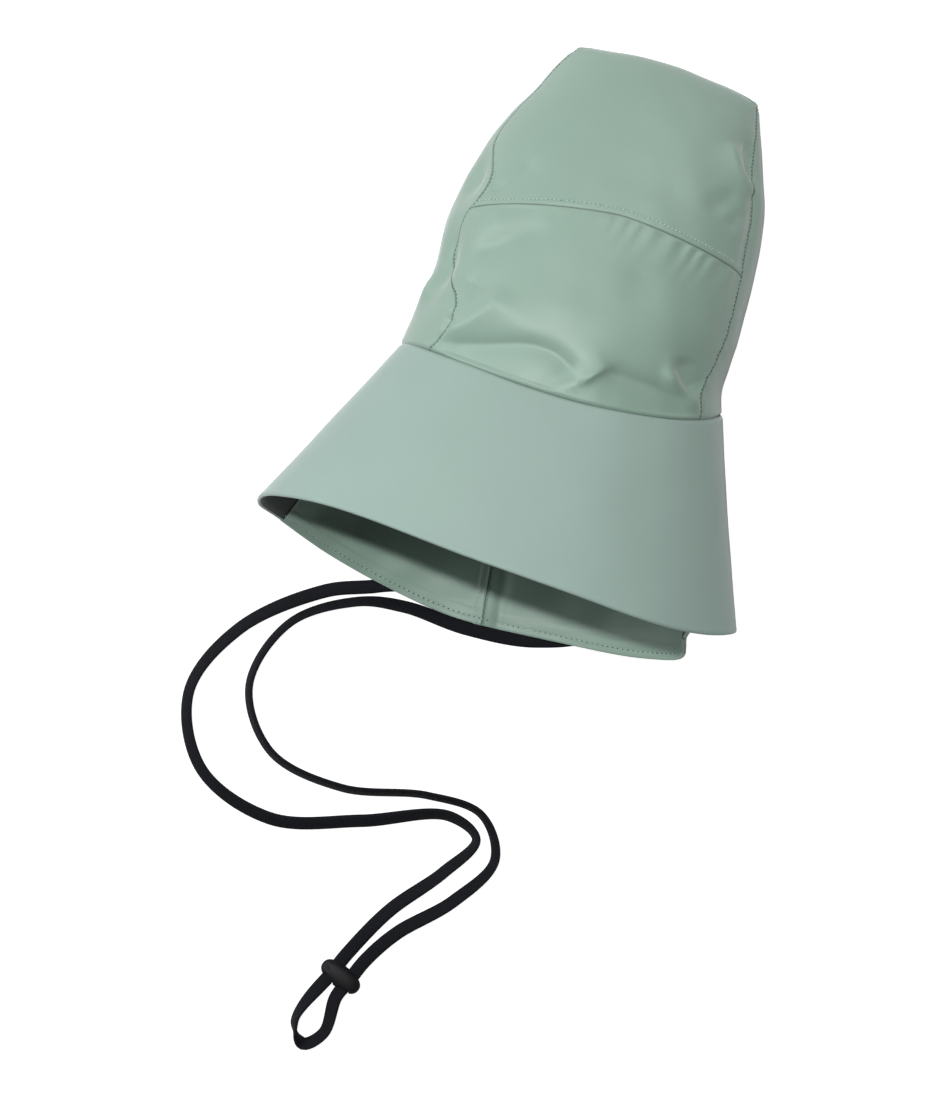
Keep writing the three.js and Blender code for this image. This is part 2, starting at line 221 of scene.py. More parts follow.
@dataclass(frozen=True)
class HatForm:
    """The outer face of crown and brim, in the hat's own plan.

    A turn goes round the hat, 0 at the middle of the front and positive towards +x. A place on the crown is
    counted in rows of its sections. A rise on the brim goes from 0 at the rim to 1 at the brim seam. The side
    panels end tip_gap rows before the last section, and are tucked in over tuck_rows before it.
    """

    crown_width: float = 184 * MM
    crown_height: float = 191 * MM
    crown_depth: float = 150 * MM
    front_squareness: float = 2.3
    back_squareness: float = 3.4
    widest_share: float = 0.45
    settle: float = 0.6 * MM

    rim_width: float = 273 * MM
    rim_depth: float = 187 * MM
    rim_shift: float = -4.5 * MM
    rim_front_squareness: float = 2.25
    rim_back_squareness: float = 2.5
    rim_widest_share: float = 0.56
    rim_fullness: float = 1.8
    bill_length: float = 98 * MM
    cape_length: float = 144 * MM
    side_length: float = 107 * MM
    cape_lift: float = 3.6 * MM
    bill_bulge: float = 2.5 * MM
    cape_sag: float = 3 * MM

    seam_front_dip: float = -0.0625
    seam_side_rise: float = 0.0035
    seam_lean: float = 0.033
    seam_twist: float = -0.019
    seam_fade: float = 3
    end_bow: float = -0.043
    end_lean: float = -0.009
    end_fade: float = 8

    arch_crest: float = 5.02
    arch_left: float = 4.25
    arch_right: float = 4.44
    arch_fullness: float = 1.5
    bill_end_left: float = math.radians(-119)
    bill_end_right: float = math.radians(117)
    cape_seam_slant: float = math.radians(10)
    tip_gap: float = 0.07
    tuck_rows: float = 1.2
    tuck: float = 0.9 * MM

    seam_wander: Ripples = Ripples(height=0.35 * MM, shortest=7 * MM, longest=22 * MM, seed=31)

    @property
    def last(self) -> int:
        """The index of the last section."""
        return len(SECTIONS) - 1

    @staticmethod
    def reach(turn: Grid, squareness: Grid) -> Grid:
        """Gives how far a rounded rectangle with half sizes of 1 reaches at a turn."""
        return (np.abs(np.sin(turn)) ** squareness + np.abs(np.cos(turn)) ** squareness) ** (-1 / squareness)

    @staticmethod
    def turn_at(share: Grid, squareness: float) -> Grid:
        """Gives the turn at which such an outline stands out sideways by a share of its half width."""
        return np.arctan2(share, (1 - share**squareness) ** (1 / squareness))

    def section(self, place: Grid) -> Grid:
        """Gives the crown's section at a place, on a smooth curve through the sections.

        Args:
            place: how far up the crown, counted in sections.

        Returns:
            The section's values in the order of Section, on the last axis.
        """
        rows = np.array([section.values() for section in SECTIONS])
        # The curve starts straight, and past the crown's end it turns back with top and bottom changed over.
        before = 2 * rows[0] - rows[1]
        after = rows[-2][[0, 1, 2, 4, 3, 5, 6, 7]]
        rows = np.vstack([before, rows, after])
        index = np.clip(np.floor(place), 0, self.last - 1).astype(int)
        t = (place - index)[..., None]
        mixed = (-t + 2 * t**2 - t**3) / 2 * rows[index]
        mixed += (2 - 5 * t**2 + 3 * t**3) / 2 * rows[index + 1]
        mixed += (t + 4 * t**2 - 3 * t**3) / 2 * rows[index + 2]
        mixed += (t**3 - t**2) / 2 * rows[index + 3]
        return mixed

    def folds(self, along: Grid, turn: Grid) -> Grid:
        """Gives how far the large folds push the crown out."""
        total = np.zeros(np.broadcast(along, turn).shape)
        for fold in FOLDS:
            up = (along - fold.along) * self.crown_height
            around = (turn - math.radians(fold.turn)) * self.crown_width / 2
            slant = math.radians(fold.slant)
            lengthwise = (up * math.cos(slant) + around * math.sin(slant)) / (fold.long * self.crown_height)
            sideways = (around * math.cos(slant) - up * math.sin(slant)) / (fold.wide * self.crown_width)
            total += fold.deep * self.crown_depth * np.exp(-(lengthwise**2) - sideways**2)
        return total

    def crown(self, place: Grid, turn: Grid) -> Grid:
        """Gives points on the crown's outer face.

        Args:
            place: how far up the crown, counted in sections.
            turn: the turn about the crown's length.

        Returns:
            The points, with x, y and z on the last axis.
        """
        along, half, shift, top, bottom = np.moveaxis(self.section(place), -1, 0)[:5]
        bottom = np.maximum(0, bottom)
        over_top = np.cos(turn) >= 0
        reach = self.reach(turn, np.where(over_top, self.front_squareness, self.back_squareness))
        middle = lerp(bottom, top, self.widest_share)
        relief = self.folds(along, turn)
        height = np.where(over_top, top - middle, middle - bottom) * self.crown_depth
        height = height + np.where(over_top, relief, 0)
        tilt = self.seam_side_rise + self.seam_lean * np.sin(turn)
        front = self.seam_front_dip * np.cos(turn) ** 2 + self.seam_twist * np.sin(2 * turn)
        tilt = tilt + np.where(over_top, front, 0)
        bend = self.end_bow * np.sin(turn) ** 2 + self.end_lean * np.sin(turn)
        bow = np.maximum(along, 0) ** self.end_fade
        x = self.crown_width * shift + (self.crown_width / 2 * half + relief) * np.sin(turn) * reach
        y = self.crown_height * (along + (1 - along) ** self.seam_fade * tilt + bow * bend)
        z = np.maximum(0, middle * self.crown_depth + height * np.cos(turn) * reach - self.settle)
        return np.stack([x, y, z], axis=-1)

    def rim(self, turn: Grid) -> Grid:
        """Gives points on the rim's outer face."""
        over_top = np.cos(turn) >= 0
        squareness = np.where(over_top, self.rim_front_squareness, self.rim_back_squareness)
        reach = self.reach(turn, squareness)
        below = self.rim_widest_share * self.rim_depth
        height = np.where(over_top, self.rim_depth - below, below)
        front_length = self.bill_length - self.crown_height * self.seam_front_dip
        end_length = np.where(over_top, front_length, self.cape_length)
        x = self.rim_shift + self.rim_width / 2 * np.sin(turn) * reach
        y = -lerp(self.side_length, end_length, np.abs(np.cos(turn)) ** self.rim_fullness)
        z = self.cape_lift + below + height * np.cos(turn) * reach
        for fold in RIM_FOLDS:
            away = np.exp(-(((turn - math.radians(fold.turn)) / math.radians(fold.spread)) ** 2))
            x = x + fold.out * self.rim_width * away * np.sign(fold.turn)
            y = y - fold.down * self.side_length * away
        return np.stack([x, y, z], axis=-1)

    def brim(self, rise: Grid, turn: Grid) -> Grid:
        """Gives points on the brim's outer face."""
        rise, turn = np.broadcast_arrays(rise, turn)
        point = lerp(self.rim(turn), self.crown(np.zeros(turn.shape), turn), rise[..., None])
        up = np.cos(turn)
        swell = np.where(up > 0, self.bill_bulge * up, -self.cape_sag * up * up)
        point[..., 2] += np.sin(math.pi * rise) * swell
        return point

    def seam_turns(self, place: Grid) -> tuple[Grid, Grid, Grid]:
        """Gives the turns of the middle strip's left, right and back seams, which wander a little."""
        left, right, back = np.moveaxis(self.section(place), -1, 0)[5:]
        track = np.asarray(place)[..., None] * np.array([self.crown_height / self.last, 0, 0])
        wander = self.seam_wander.at(track) / (self.crown_width / 2)
        other = self.seam_wander.at(track + self.crown_height) / (self.crown_width / 2)
        left_turn = wander - self.turn_at(left, self.front_squareness)
        right_turn = other + self.turn_at(right, self.front_squareness)
        return left_turn, right_turn, math.pi - self.turn_at(back, self.back_squareness)

    def arch(self, share: Grid) -> Grid:
        """Gives the place of the arched seam by the share of the way across the front."""
        ends = lerp(self.arch_left, self.arch_right, share)
        return lerp(self.arch_crest, ends, np.abs(2 * share - 1) ** self.arch_fullness)

    def front_panel(self, a: Grid, b: Grid) -> Grid:
        """The surface of the panel between the brim seam and the arched seam."""
        place = b * self.arch(a)
        left, right, _ = self.seam_turns(place)
        return self.crown(place, lerp(left, right, a))

    def top_panel(self, a: Grid, b: Grid) -> Grid:
        """The surface of the strip from the arched seam over the end of the crown and down the back."""
        over_end = (self.last - self.arch_right) / (2 * self.last - self.arch_right)
        front_place = lerp(self.arch(a), self.last, np.minimum(b / over_end, 1))
        left, right, _ = self.seam_turns(front_place)
        front = self.crown(front_place, lerp(left, right, a))
        back_place = lerp(self.last, 0, np.maximum((b - over_end) / (1 - over_end), 0))
        back_turn = self.seam_turns(back_place)[2]
        back = self.crown(back_place, lerp(2 * math.pi - back_turn, back_turn, a))
        return np.where((b <= over_end)[..., None], front, back)

    def side_panel(self, side: int) -> Surface:
        """Makes the surface of a side panel, -1 for the left one and 1 for the right one."""
        def surface(a: Grid, b: Grid) -> Grid:
            """The side panel's surface, which narrows to a tip tucked in at the corner of the crown's end."""
            place = np.clip(b, -1, 1) * (self.last - self.tip_gap)
            left, right, back = self.seam_turns(place)
            start, stop = (-back, left) if side < 0 else (right, back)
            flat = lerp(self.crown(place, start), self.crown(place, stop), np.asarray(a)[..., None])
            at_tip = smoothstep(place, self.last - self.tuck_rows, self.last)[..., None]
            inwards = np.array([-side * self.tuck, -self.tuck, 0])
            return lerp(self.crown(place, lerp(start, stop, a)), flat + inwards, at_tip)

        return surface

    def bill(self, a: Grid, b: Grid) -> Grid:
        """The surface of the bill."""
        return self.brim(b, lerp(self.bill_end_left, self.bill_end_right, a))

    def left_cape(self, a: Grid, b: Grid) -> Grid:
        """The surface of the cape's left half."""
        return self.brim(b, lerp(self.cape_seam_slant * b - math.pi, self.bill_end_left, a))

    def right_cape(self, a: Grid, b: Grid) -> Grid:
        """The surface of the cape's right half."""
        return self.brim(b, lerp(self.bill_end_right, self.cape_seam_slant * b + math.pi, a))


# Sewn panels


class Edge(Enum):
    """An edge of a panel's grid: LOW and HIGH end its rows, LEFT and RIGHT its columns."""

    LOW = "low"
    HIGH = "high"
    LEFT = "left"
    RIGHT = "right"


@dataclass
class Patch:
    """A panel's outer face, sampled on a grid, with the distance of each point from each edge."""

    points: Grid
    normals: Grid
    distance: dict[Edge, Grid]
    cloth: Grid

    @classmethod
    def sample(cls, surface: Surface, across: Grid, along: Grid) -> Patch:
        """Samples a surface.

        Args:
            surface: gives points for shares across and along.
            across: the shares across at which it is sampled.
            along: the shares along at which it is sampled.

        Returns:
            The sampled patch, with a row for each share along.
        """
        step = 1e-3
        b, a = np.meshgrid(along, across, indexing="ij")
        points = surface(a, b)
        sideways = surface(a + step, b) - surface(a - step, b)
        upward = surface(a, b + step) - surface(a, b - step)
        normals = unit(np.cross(sideways, upward))
        rows = np.linalg.norm(np.diff(points, axis=1), axis=-1)
        columns = np.linalg.norm(np.diff(points, axis=0), axis=-1)
        from_left = np.concatenate([np.zeros((len(along), 1)), np.cumsum(rows, axis=1)], axis=1)
        from_low = np.concatenate([np.zeros((1, len(across))), np.cumsum(columns, axis=0)], axis=0)
        distance = {
            Edge.LEFT: from_left,
            Edge.RIGHT: from_left[:, -1:] - from_left,
            Edge.LOW: from_low,
            Edge.HIGH: from_low[-1:] - from_low,
        }
        centre = from_left[:, len(across) // 2, None]
        cloth = np.stack([from_left - centre, from_low, np.zeros(from_low.shape)], axis=-1)
        return cls(points, normals, distance, cloth)

    def seam_distance(self, edges: Sequence[Edge]) -> Grid:
        """Gives each point's distance from the nearest of some edges."""
        return np.min([self.distance[edge] for edge in edges], axis=0)


Relief = Callable[[Patch], Grid]

HAT_AXIS = (0, 0, 66 * MM)


@dataclass(frozen=True)
class Crease:
    """A fold of the cloth on the hat's upper face, drawn in plan.

    route is in millimetres of the hat's plan, height is negative for a valley, and left and right say how far
    the fold reaches to each side of its route. A sharp fold has a pointed crest, which crest_softness rounds.
    The fold sinks to end_height of itself over a taper at each end.
    """

    route: tuple[tuple[float, float], ...]
    height: float
    left: float
    right: float
    sharp: bool = False
    taper: float = 0.3
    crest_softness: float = 0.3
    end_height: float = 0.15

    def at(self, points: Grid) -> Grid:
        """Gives the height of the fold at points in space."""
        corners = rounded(np.array(self.route) * MM)
        lengths = np.linalg.norm(np.diff(corners, axis=0), axis=1)
        reached = np.concatenate([[0], np.cumsum(lengths)])
        best = np.full(points.shape[:-1], np.inf)
        leftness = np.zeros(best.shape)
        share = np.zeros(best.shape)
        for start, end, length, before in zip(corners[:-1], corners[1:], lengths, reached[:-1]):
            direction = (end - start) / length
            offset = points[..., :2] - start
            along = np.clip(offset @ direction, 0, length)
            away = offset - along[..., None] * direction
            gap = np.linalg.norm(away, axis=-1)
            nearer = gap < best
            cross = direction[0] * away[..., 1] - direction[1] * away[..., 0]
            best = np.where(nearer, gap, best)
            leftness = np.where(nearer, cross / np.maximum(gap, 1e-9), leftness)
            share = np.where(nearer, (before + along) / reached[-1], share)
        reach = lerp(self.right, self.left, (1 + leftness) / 2) * MM
        spread = best / reach
        soft = self.crest_softness
        profile = np.exp(soft - np.sqrt(spread**2 + soft**2)) if self.sharp else np.exp(-(spread**2))
        ends = smoothstep(share, 0, self.taper) * smoothstep(1 - share, 0, self.taper)
        return self.height * MM * profile * lerp(self.end_height, 1, ends)


def rounded(route: Grid, rounds: int = 2) -> Grid:
    """Cuts a route's corners off, again and again, and keeps its ends."""
    for _ in range(rounds):
        near = 0.75 * route[:-1] + 0.25 * route[1:]
        far = 0.25 * route[:-1] + 0.75 * route[1:]
        middle = np.stack([near, far], axis=1).reshape(-1, route.shape[1])
        route = np.vstack([route[:1], middle, route[-1:]])
    return route


@dataclass(frozen=True)
class Seam:
    """How cloth behaves beside a sewn edge: it dives into the seam, and its turned allowance stands proud.

    Cloth that meets at an angle dives towards the hat's axis, so that both edges stay together. Puckers start
    pucker_calm from the seam, and grow along it from the share pucker_least to their full height.
    """

    edge: Edge
    dive: float = 0.8 * MM
    dive_reach: float = 0.75 * MM
    allowance: float = 0
    allowance_width: float = 3.4 * MM
    allowance_fall: tuple[float, float] = (0.85, 1.35)
    pucker: float = 0
    pucker_pitch: float = 9 * MM
    pucker_length: float = 9 * MM
    pucker_slant: float = 0.4
    pucker_falloff: float = 1.6
    pucker_calm: float = 3 * MM
    pucker_from: float = -1
    pucker_full: float = 0.62
    pucker_least: float = 0.25
    seed: int = SEED
    to_axis: bool = False

    def at(self, patch: Patch) -> Grid:
        """Gives how far the cloth beside the seam moves, as vectors."""
        gap = patch.distance[self.edge]
        dive = -self.dive * np.exp(-((gap / self.dive_reach) ** 2))
        outward = unit((patch.points - HAT_AXIS) * (1, 0, 1)) if self.to_axis else patch.normals
        return dive[..., None] * outward + self.height(patch)[..., None] * patch.normals

    def height(self, patch: Patch) -> Grid:
        """Gives the height of the seam's allowance and puckers."""
        gap = patch.distance[self.edge]
        total = np.zeros(gap.shape)
        if self.allowance:
            start, stop = (self.allowance_width * share for share in self.allowance_fall)
            total = total + self.allowance * (1 - smoothstep(gap, start, stop))
        if self.pucker:
            run = self.run(patch)
            pitch = self.pucker_pitch
            waver = Ripples(0.25 * pitch, shortest=3 * pitch, longest=7 * pitch, count=5, seed=self.seed)
            track = (run + self.pucker_slant * gap)[..., None] * np.array([1.0, 0, 0])
            wave = np.cos(2 * math.pi * (track[..., 0] + waver.at(track)) / pitch)
            fade = np.exp(-((gap / self.pucker_length) ** self.pucker_falloff))
            fade = fade * smoothstep(gap, 0, self.pucker_calm)
            grown = smoothstep(run / np.max(run), self.pucker_from, self.pucker_full)
            total = total + self.pucker * wave * fade * lerp(self.pucker_least, 1, grown)
        return total

    def run(self, patch: Patch) -> Grid:
        """Gives the distance along the seam."""
        return patch.distance[Edge.LEFT if self.edge in (Edge.LOW, Edge.HIGH) else Edge.LOW]


@dataclass
class SewnPanel:
    """A sheet of one thickness whose outer face follows a surface, and whose free edge, if any, is round."""

    name: str
    node: str
    surface: Surface
    wall: float
    across: int
    along: int
    seams: tuple[Seam, ...] = ()
    reliefs: tuple[Relief, ...] = ()
    lining_reliefs: tuple[Relief, ...] = ()
    free_edge: bool = False
    tightness: float = 0.55
    edge_steps: int = 6
    outer: Grid = field(init=False)
    inner: Grid = field(init=False)
    patch: Patch = field(init=False)

    def __post_init__(self) -> None:
        """Works out the two faces."""
        along = eased(self.along, self.tightness)
        across = eased(self.across, self.tightness)
        if self.free_edge:
            whole = Patch.sample(self.surface, across, along)
            length = float(np.mean(whole.distance[Edge.LOW][-1]))
            start = self.wall / 2 / length
            along = start + (1 - start) * along
        self.patch = Patch.sample(self.surface, across, along)
        self.outer = self.patch.points.copy()
        for seam in self.seams:
            self.outer += seam.at(self.patch)
        for relief in self.reliefs:
            self.outer += relief(self.patch)[..., None] * self.patch.normals
        depth = np.full(self.outer.shape[:2], self.wall)
        for relief in self.lining_reliefs:
            depth = depth + relief(self.patch)
        self.inner = self.outer - depth[..., None] * self.patch.normals

    def build(
        self, origin: Vector, material: bpy.types.Material, inner_face_shade: bpy.types.Material | None = None
    ) -> bpy.types.Object:
        """Builds the panel's object.

        Args:
            origin: where the hat's plan has its origin in the frame.
            material: the cloth's material.
            inner_face_shade: the inner face's darker material, where it differs, which paints the shade under
                the bill.

        Returns:
            The object, which replaces its node.
        """
        rows = [*self.outer[::-1], *self.rounded_edge(), *self.inner]
        points = np.array(rows)
        count, width = points.shape[:2]
        index = np.arange(count * width).reshape(count, width)
        sheet = np.stack([index[:-1, :-1], index[:-1, 1:], index[1:, 1:], index[1:, :-1]], axis=-1)
        seam_end = np.stack([index[0, 1:], index[0, :-1], index[-1, :-1], index[-1, 1:]], axis=-1)
        quads = [sheet.reshape(-1, 4), seam_end]
        half = count // 2
        pairs = index[:half], index[::-1][:half]
        for column, order in ((0, 1), (width - 1, -1)):
            near, far = pairs[0][:, column], pairs[1][:, column]
            strip = np.stack([near[:-1], near[1:], far[1:], far[:-1]], axis=-1)
            quads.append(strip[:, ::order])
        mesh = closed_mesh(self.name, points.reshape(-1, 3) + np.array(origin), np.concatenate(quads))
        edge_rows = np.repeat(self.patch.cloth[:1], count - 2 * len(self.outer), axis=0)
        cloth = np.concatenate([self.patch.cloth[::-1], edge_rows, self.patch.cloth])
        gap = self.patch.seam_distance([seam.edge for seam in self.seams])
        edge_gap = np.repeat(gap[:1], count - 2 * len(self.outer), axis=0)
        set_attribute(mesh, "cloth_place", cloth.reshape(-1, 3))
        set_attribute(mesh, "seam_gap", np.concatenate([gap[::-1], edge_gap, gap]).reshape(-1))
        # The inner face gets its own darker material: on the bill this is painted shade under the bill.
        if inner_face_shade:
            mesh.materials.append(material)
            mesh.materials.append(inner_face_shade)
            slots = np.zeros(len(mesh.polygons), dtype=np.int32)
            slots[(count - len(self.inner)) * (width - 1) : (count - 1) * (width - 1)] = 1
            mesh.polygons.foreach_set("material_index", slots)
        return place_piece(mesh, material, (self.node,))

    def rounded_edge(self) -> Grid:
        """Gives the rows that round the free edge, or none where the edge is sewn."""
        if not self.free_edge:
            return np.empty((0, *self.outer.shape[1:]))
        outer, inner = self.outer[0], self.inner[0]
        outward = unit(self.outer[0] - self.outer[1])
        centre = (outer + inner) / 2
        spoke = (outer - inner) / 2
        radius = np.linalg.norm(spoke, axis=-1, keepdims=True)
        angles = np.linspace(0, math.pi, self.edge_steps + 2)[1:-1]
        return np.array([centre + math.cos(t) * spoke + math.sin(t) * radius * outward for t in angles])

    def line(
        self, edge: Edge, gap: float, start: float = 0, stop: float = 1, inside: bool = False
    ) -> Stitching:
        """Traces a line of stitches at an even distance from one edge.

        Args:
            edge: the edge that the line follows.
            gap: its distance from that edge.
            start: the share of the edge's length at which the line starts.
            stop: the share at which it stops.
            inside: whether it lies on the inner face.

        Returns:
            The line, with the direction that faces out of the cloth at each of its points.
        """
        face = self.inner if inside else self.outer
        normals = -self.patch.normals if inside else self.patch.normals
        distance = self.patch.distance[edge]
        if edge in (Edge.LEFT, Edge.RIGHT):
            face, normals, distance = (np.swapaxes(grid, 0, 1) for grid in (face, normals, distance))
        if edge in (Edge.RIGHT, Edge.HIGH):
            face, normals, distance = face[::-1], normals[::-1], distance[::-1]
        count = face.shape[1]
        columns = range(round(start * (count - 1)), round(stop * (count - 1)) + 1)
        columns = [j for j in columns if distance[-1, j] > 2 * gap]
        points = [[np.interp(gap, distance[:, j], face[:, j, k]) for k in range(3)] for j in columns]
        facing = [[np.interp(gap, distance[:, j], normals[:, j, k]) for k in range(3)] for j in columns]
        return Stitching(np.array(points), unit(np.array(facing)))


def tube_faces(count: int, corners: int) -> NDArray[np.int64]:
    """Gives the quads of a tube of rings that closes round a tip at each end.

    Args:
        count: how many rings there are.
        corners: how many points each ring has, which is an even number.

    Returns:
        The quads, for the rings' points in order and then the first and the last tip.
    """
    index = np.arange(count * corners).reshape(count, corners)
    turned = np.roll(index, -1, axis=1)
    faces = [np.stack([index[:-1], turned[:-1], turned[1:], index[1:]], axis=-1).reshape(-1, 4)]
    for tip, ring in enumerate((index[0][::-1], index[-1]), start=count * corners):
        fan = [ring[::2], ring[1::2], np.roll(ring[::2], -1), np.full(corners // 2, tip)]
        faces.append(np.stack(fan, axis=1))
    return np.concatenate(faces)


def closed_mesh(name: str, points: Grid, faces: NDArray[np.int64]) -> bpy.types.Mesh:
    """Makes a smooth closed mesh whose faces point outwards.

    Args:
        name: the mesh's name.
        points: its vertices.
        faces: its quads, all wound the same way.

    Returns:
        The mesh.
    """
    a, b, c, d = (points[faces[:, k]] for k in range(4))
    volume = np.sum(np.cross(b - a, c - a) * a) + np.sum(np.cross(c - a, d - a) * a)
    if volume < 0:
        faces = faces[:, ::-1]
    mesh = bpy.data.meshes.new(name)
    mesh.from_pydata(points.tolist(), [], faces.tolist())
    mesh.shade_smooth()
    mesh.set_sharp_from_angle(angle=CLOTH_EDGE_ANGLE)
    return mesh


def set_attribute(mesh: bpy.types.Mesh, name: str, values: Grid) -> None:
    """Stores a number or a vector for each vertex of a mesh."""
    is_vector = values.ndim == 2
    attribute = mesh.attributes.new(name, "FLOAT_VECTOR" if is_vector else "FLOAT", "POINT")
    attribute.data.foreach_set("vector" if is_vector else "value", values.astype(np.float32).ravel())


def add_object(name: str, data: bpy.types.ID) -> bpy.types.Object:
    """Puts a new object into the scene."""
    thing = bpy.data.objects.new(name, data)
    bpy.context.scene.collection.objects.link(thing)
    return thing


def evaluated_mesh(thing: bpy.types.Object, name: str) -> bpy.types.Mesh:
    """Gives the mesh that an object's modifiers make, under a name of its own."""
    mesh = bpy.data.meshes.new_from_object(thing.evaluated_get(bpy.context.evaluated_depsgraph_get()))
    mesh.name = name
    return mesh


def place_piece(
    mesh: bpy.types.Mesh, material: bpy.types.Material, nodes: Sequence[str] = ()
) -> bpy.types.Object:
    """Puts a finished mesh into the scene as a piece that rides on the hat.

    Args:
        mesh: the piece's mesh, in its place in the frame.
        material: its material, where the mesh has none yet.
        nodes: the nodes that it stands for.

    Returns:
        The piece's object.
    """
    piece = add_object(mesh.name, mesh)
    if not mesh.materials:
        mesh.materials.append(material)
    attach(piece, "root")
    if nodes:
        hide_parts(*nodes)
    log.info("%s: %d faces", piece.name, len(mesh.polygons))
    return piece


# Node trees


@dataclass
class Graph:
    """A node tree under construction."""

    tree: bpy.types.NodeTree

    def node(self, kind: str, **settings: object) -> bpy.types.Node:
        """Adds a node and sets its properties."""
        node = self.tree.nodes.new(kind)
        for key, value in settings.items():
            setattr(node, key, value)
        return node

    def link(self, source: bpy.types.NodeSocket, target: bpy.types.NodeSocket) -> None:
        """Links an output to an input."""
        self.tree.links.new(source, target)

    def feed(self, target: bpy.types.NodeSocket, value: object) -> None:
        """Links or sets an input, whichever the value calls for."""
        if isinstance(value, bpy.types.NodeSocket):
            self.link(value, target)
        else:
            target.default_value = value

    def fill(self, node: bpy.types.Node, values: dict[str, object]) -> None:
        """Links or sets a node's inputs by name."""
        for key, value in values.items():
            self.feed(node.inputs[key], value)

    def group(self, tree: bpy.types.NodeTree, values: dict[str, object]) -> bpy.types.Node:
        """Adds a node group with its inputs."""
        node = self.node("ShaderNodeGroup", node_tree=tree)
        self.fill(node, values)
        return node

    def math(self, operation: str, *values: object, clamp: bool = False) -> bpy.types.NodeSocket:
        """Adds a math node and gives its output."""
        node = self.node("ShaderNodeMath", operation=operation, use_clamp=clamp)
        for socket, value in zip(node.inputs, values):
            self.feed(socket, value)
        return node.outputs[0]

    def remap(
        self, value: object, low: float, high: float, to_low: float, to_high: float
    ) -> bpy.types.NodeSocket:
        """Maps a range of values smoothly to another and gives the output."""
        node = self.node("ShaderNodeMapRange", interpolation_type="SMOOTHSTEP")
        for socket, part in zip(node.inputs, (value, low, high, to_low, to_high)):
            self.feed(socket, part)
        return node.outputs[0]

    def noise(
        self, place: bpy.types.NodeSocket, scale: object, detail: float, rough: float
    ) -> bpy.types.NodeSocket:
        """Adds a noise texture and gives its value."""
        node = self.node("ShaderNodeTexNoise")
        self.fill(node, {"Vector": place, "Scale": scale, "Detail": detail, "Roughness": rough})
        return node.outputs["Fac"]

    def mix(self, share: object, a: object, b: object) -> bpy.types.NodeSocket:
        """Mixes two colours and gives the output."""
        node = self.node("ShaderNodeMix", data_type="RGBA")
        self.feed(node.inputs[0], share)
        self.feed(node.inputs[6], a)
        self.feed(node.inputs[7], b)
        return node.outputs[2]


def new_group(name: str, inputs: dict[str, object], outputs: dict[str, str]) -> tuple[Graph, dict, dict]:
    """Starts a shader node group with named sockets.

    Args:
        name: the group's name.
        inputs: default values by input name; a colour has 4 parts and a place is None.
        outputs: socket types by output name.

    Returns:
        The graph, its inputs' sockets and its outputs' sockets.
    """
    tree = bpy.data.node_groups.new(name, "ShaderNodeTree")
    kinds = {float: "NodeSocketFloat", tuple: "NodeSocketColor", type(None): "NodeSocketVector"}
    for key, value in inputs.items():
        socket = tree.interface.new_socket(key, in_out="INPUT", socket_type=kinds[type(value)])
        if value is not None:
            socket.default_value = value
    for key, kind in outputs.items():
        tree.interface.new_socket(key, in_out="OUTPUT", socket_type=kind)
    graph = Graph(tree)
    entry = graph.node("NodeGroupInput")
    leave = graph.node("NodeGroupOutput")
    return graph, {key: entry.outputs[key] for key in inputs}, {key: leave.inputs[key] for key in outputs}


def weave_group() -> bpy.types.NodeTree:
    """Builds the plain weave: threads that pass over and under each other."""
    inputs = {"Place": None, "Thread": 0.3 * MM}
    graph, given, wanted = new_group("plain weave", inputs, {"Height": "NodeSocketFloat"})
    split = graph.node("ShaderNodeSeparateXYZ")
    graph.link(given["Place"], split.inputs[0])
    waves = []
    for axis in (0, 1):
        turns = graph.math("DIVIDE", split.outputs[axis], given["Thread"])
        waves.append(graph.math("SINE", graph.math("MULTIPLY", turns, math.pi)))
    over = graph.math("MULTIPLY_ADD", graph.math("MULTIPLY", *waves), 2.0, 0.5, clamp=True)
    warp, weft = (graph.math("ABSOLUTE", wave) for wave in waves)
    under = graph.math("SUBTRACT", 1.0, over)
    height = graph.math("ADD", graph.math("MULTIPLY", warp, over), graph.math("MULTIPLY", weft, under))
    graph.link(height, wanted["Height"])
    return graph.tree


def tone_and_seam_shade_group() -> bpy.types.NodeTree:
    """Builds the cloth's uneven tone: broad shade, fine grain, and darker cloth right beside a seam, which is
    dirt and painted shade in the seam's groove.
    """
    inputs = {
        "Place": None,
        "Colour": (0.3, 0.4, 0.35, 1.0),
        "Grain": 0.05,
        "Grain Size": 1.0 * MM,
        "Shade": 0.06,
        "Seam Gap": 0.1,
        "Seam Dirt And Shade": 0.5,
    }
    outputs = {"Colour": "NodeSocketColor", "Grain": "NodeSocketFloat"}
    graph, given, wanted = new_group("cloth tone", inputs, outputs)
    per_metre = graph.math("DIVIDE", 1.0, given["Grain Size"])
    grain = graph.noise(given["Place"], scale=per_metre, detail=2.0, rough=0.6)
    broad = graph.noise(given["Place"], scale=22.0, detail=3.0, rough=0.55)
    grain_part = graph.math("MULTIPLY", graph.math("SUBTRACT", grain, 0.5), given["Grain"])
    broad_part = graph.math("MULTIPLY", graph.math("SUBTRACT", broad, 0.5), given["Shade"])
    # Darker cloth within 0.9 mm of a seam: dirt and painted shade in the seam's groove.
    seam = graph.remap(given["Seam Gap"], low=0.0, high=0.9 * MM, to_low=1.0, to_high=0.0)
    seam_dirt_and_shade_part = graph.math("MULTIPLY", seam, given["Seam Dirt And Shade"])
    tone = graph.math("ADD", graph.math("ADD", grain_part, broad_part), 1.0)
    bright = graph.math("SUBTRACT", tone, seam_dirt_and_shade_part)
    adjust = graph.node("ShaderNodeHueSaturation")
    graph.fill(adjust, {"Color": given["Colour"], "Value": bright})
    graph.link(adjust.outputs[0], wanted["Colour"])
    graph.link(grain, wanted["Grain"])
    return graph.tree


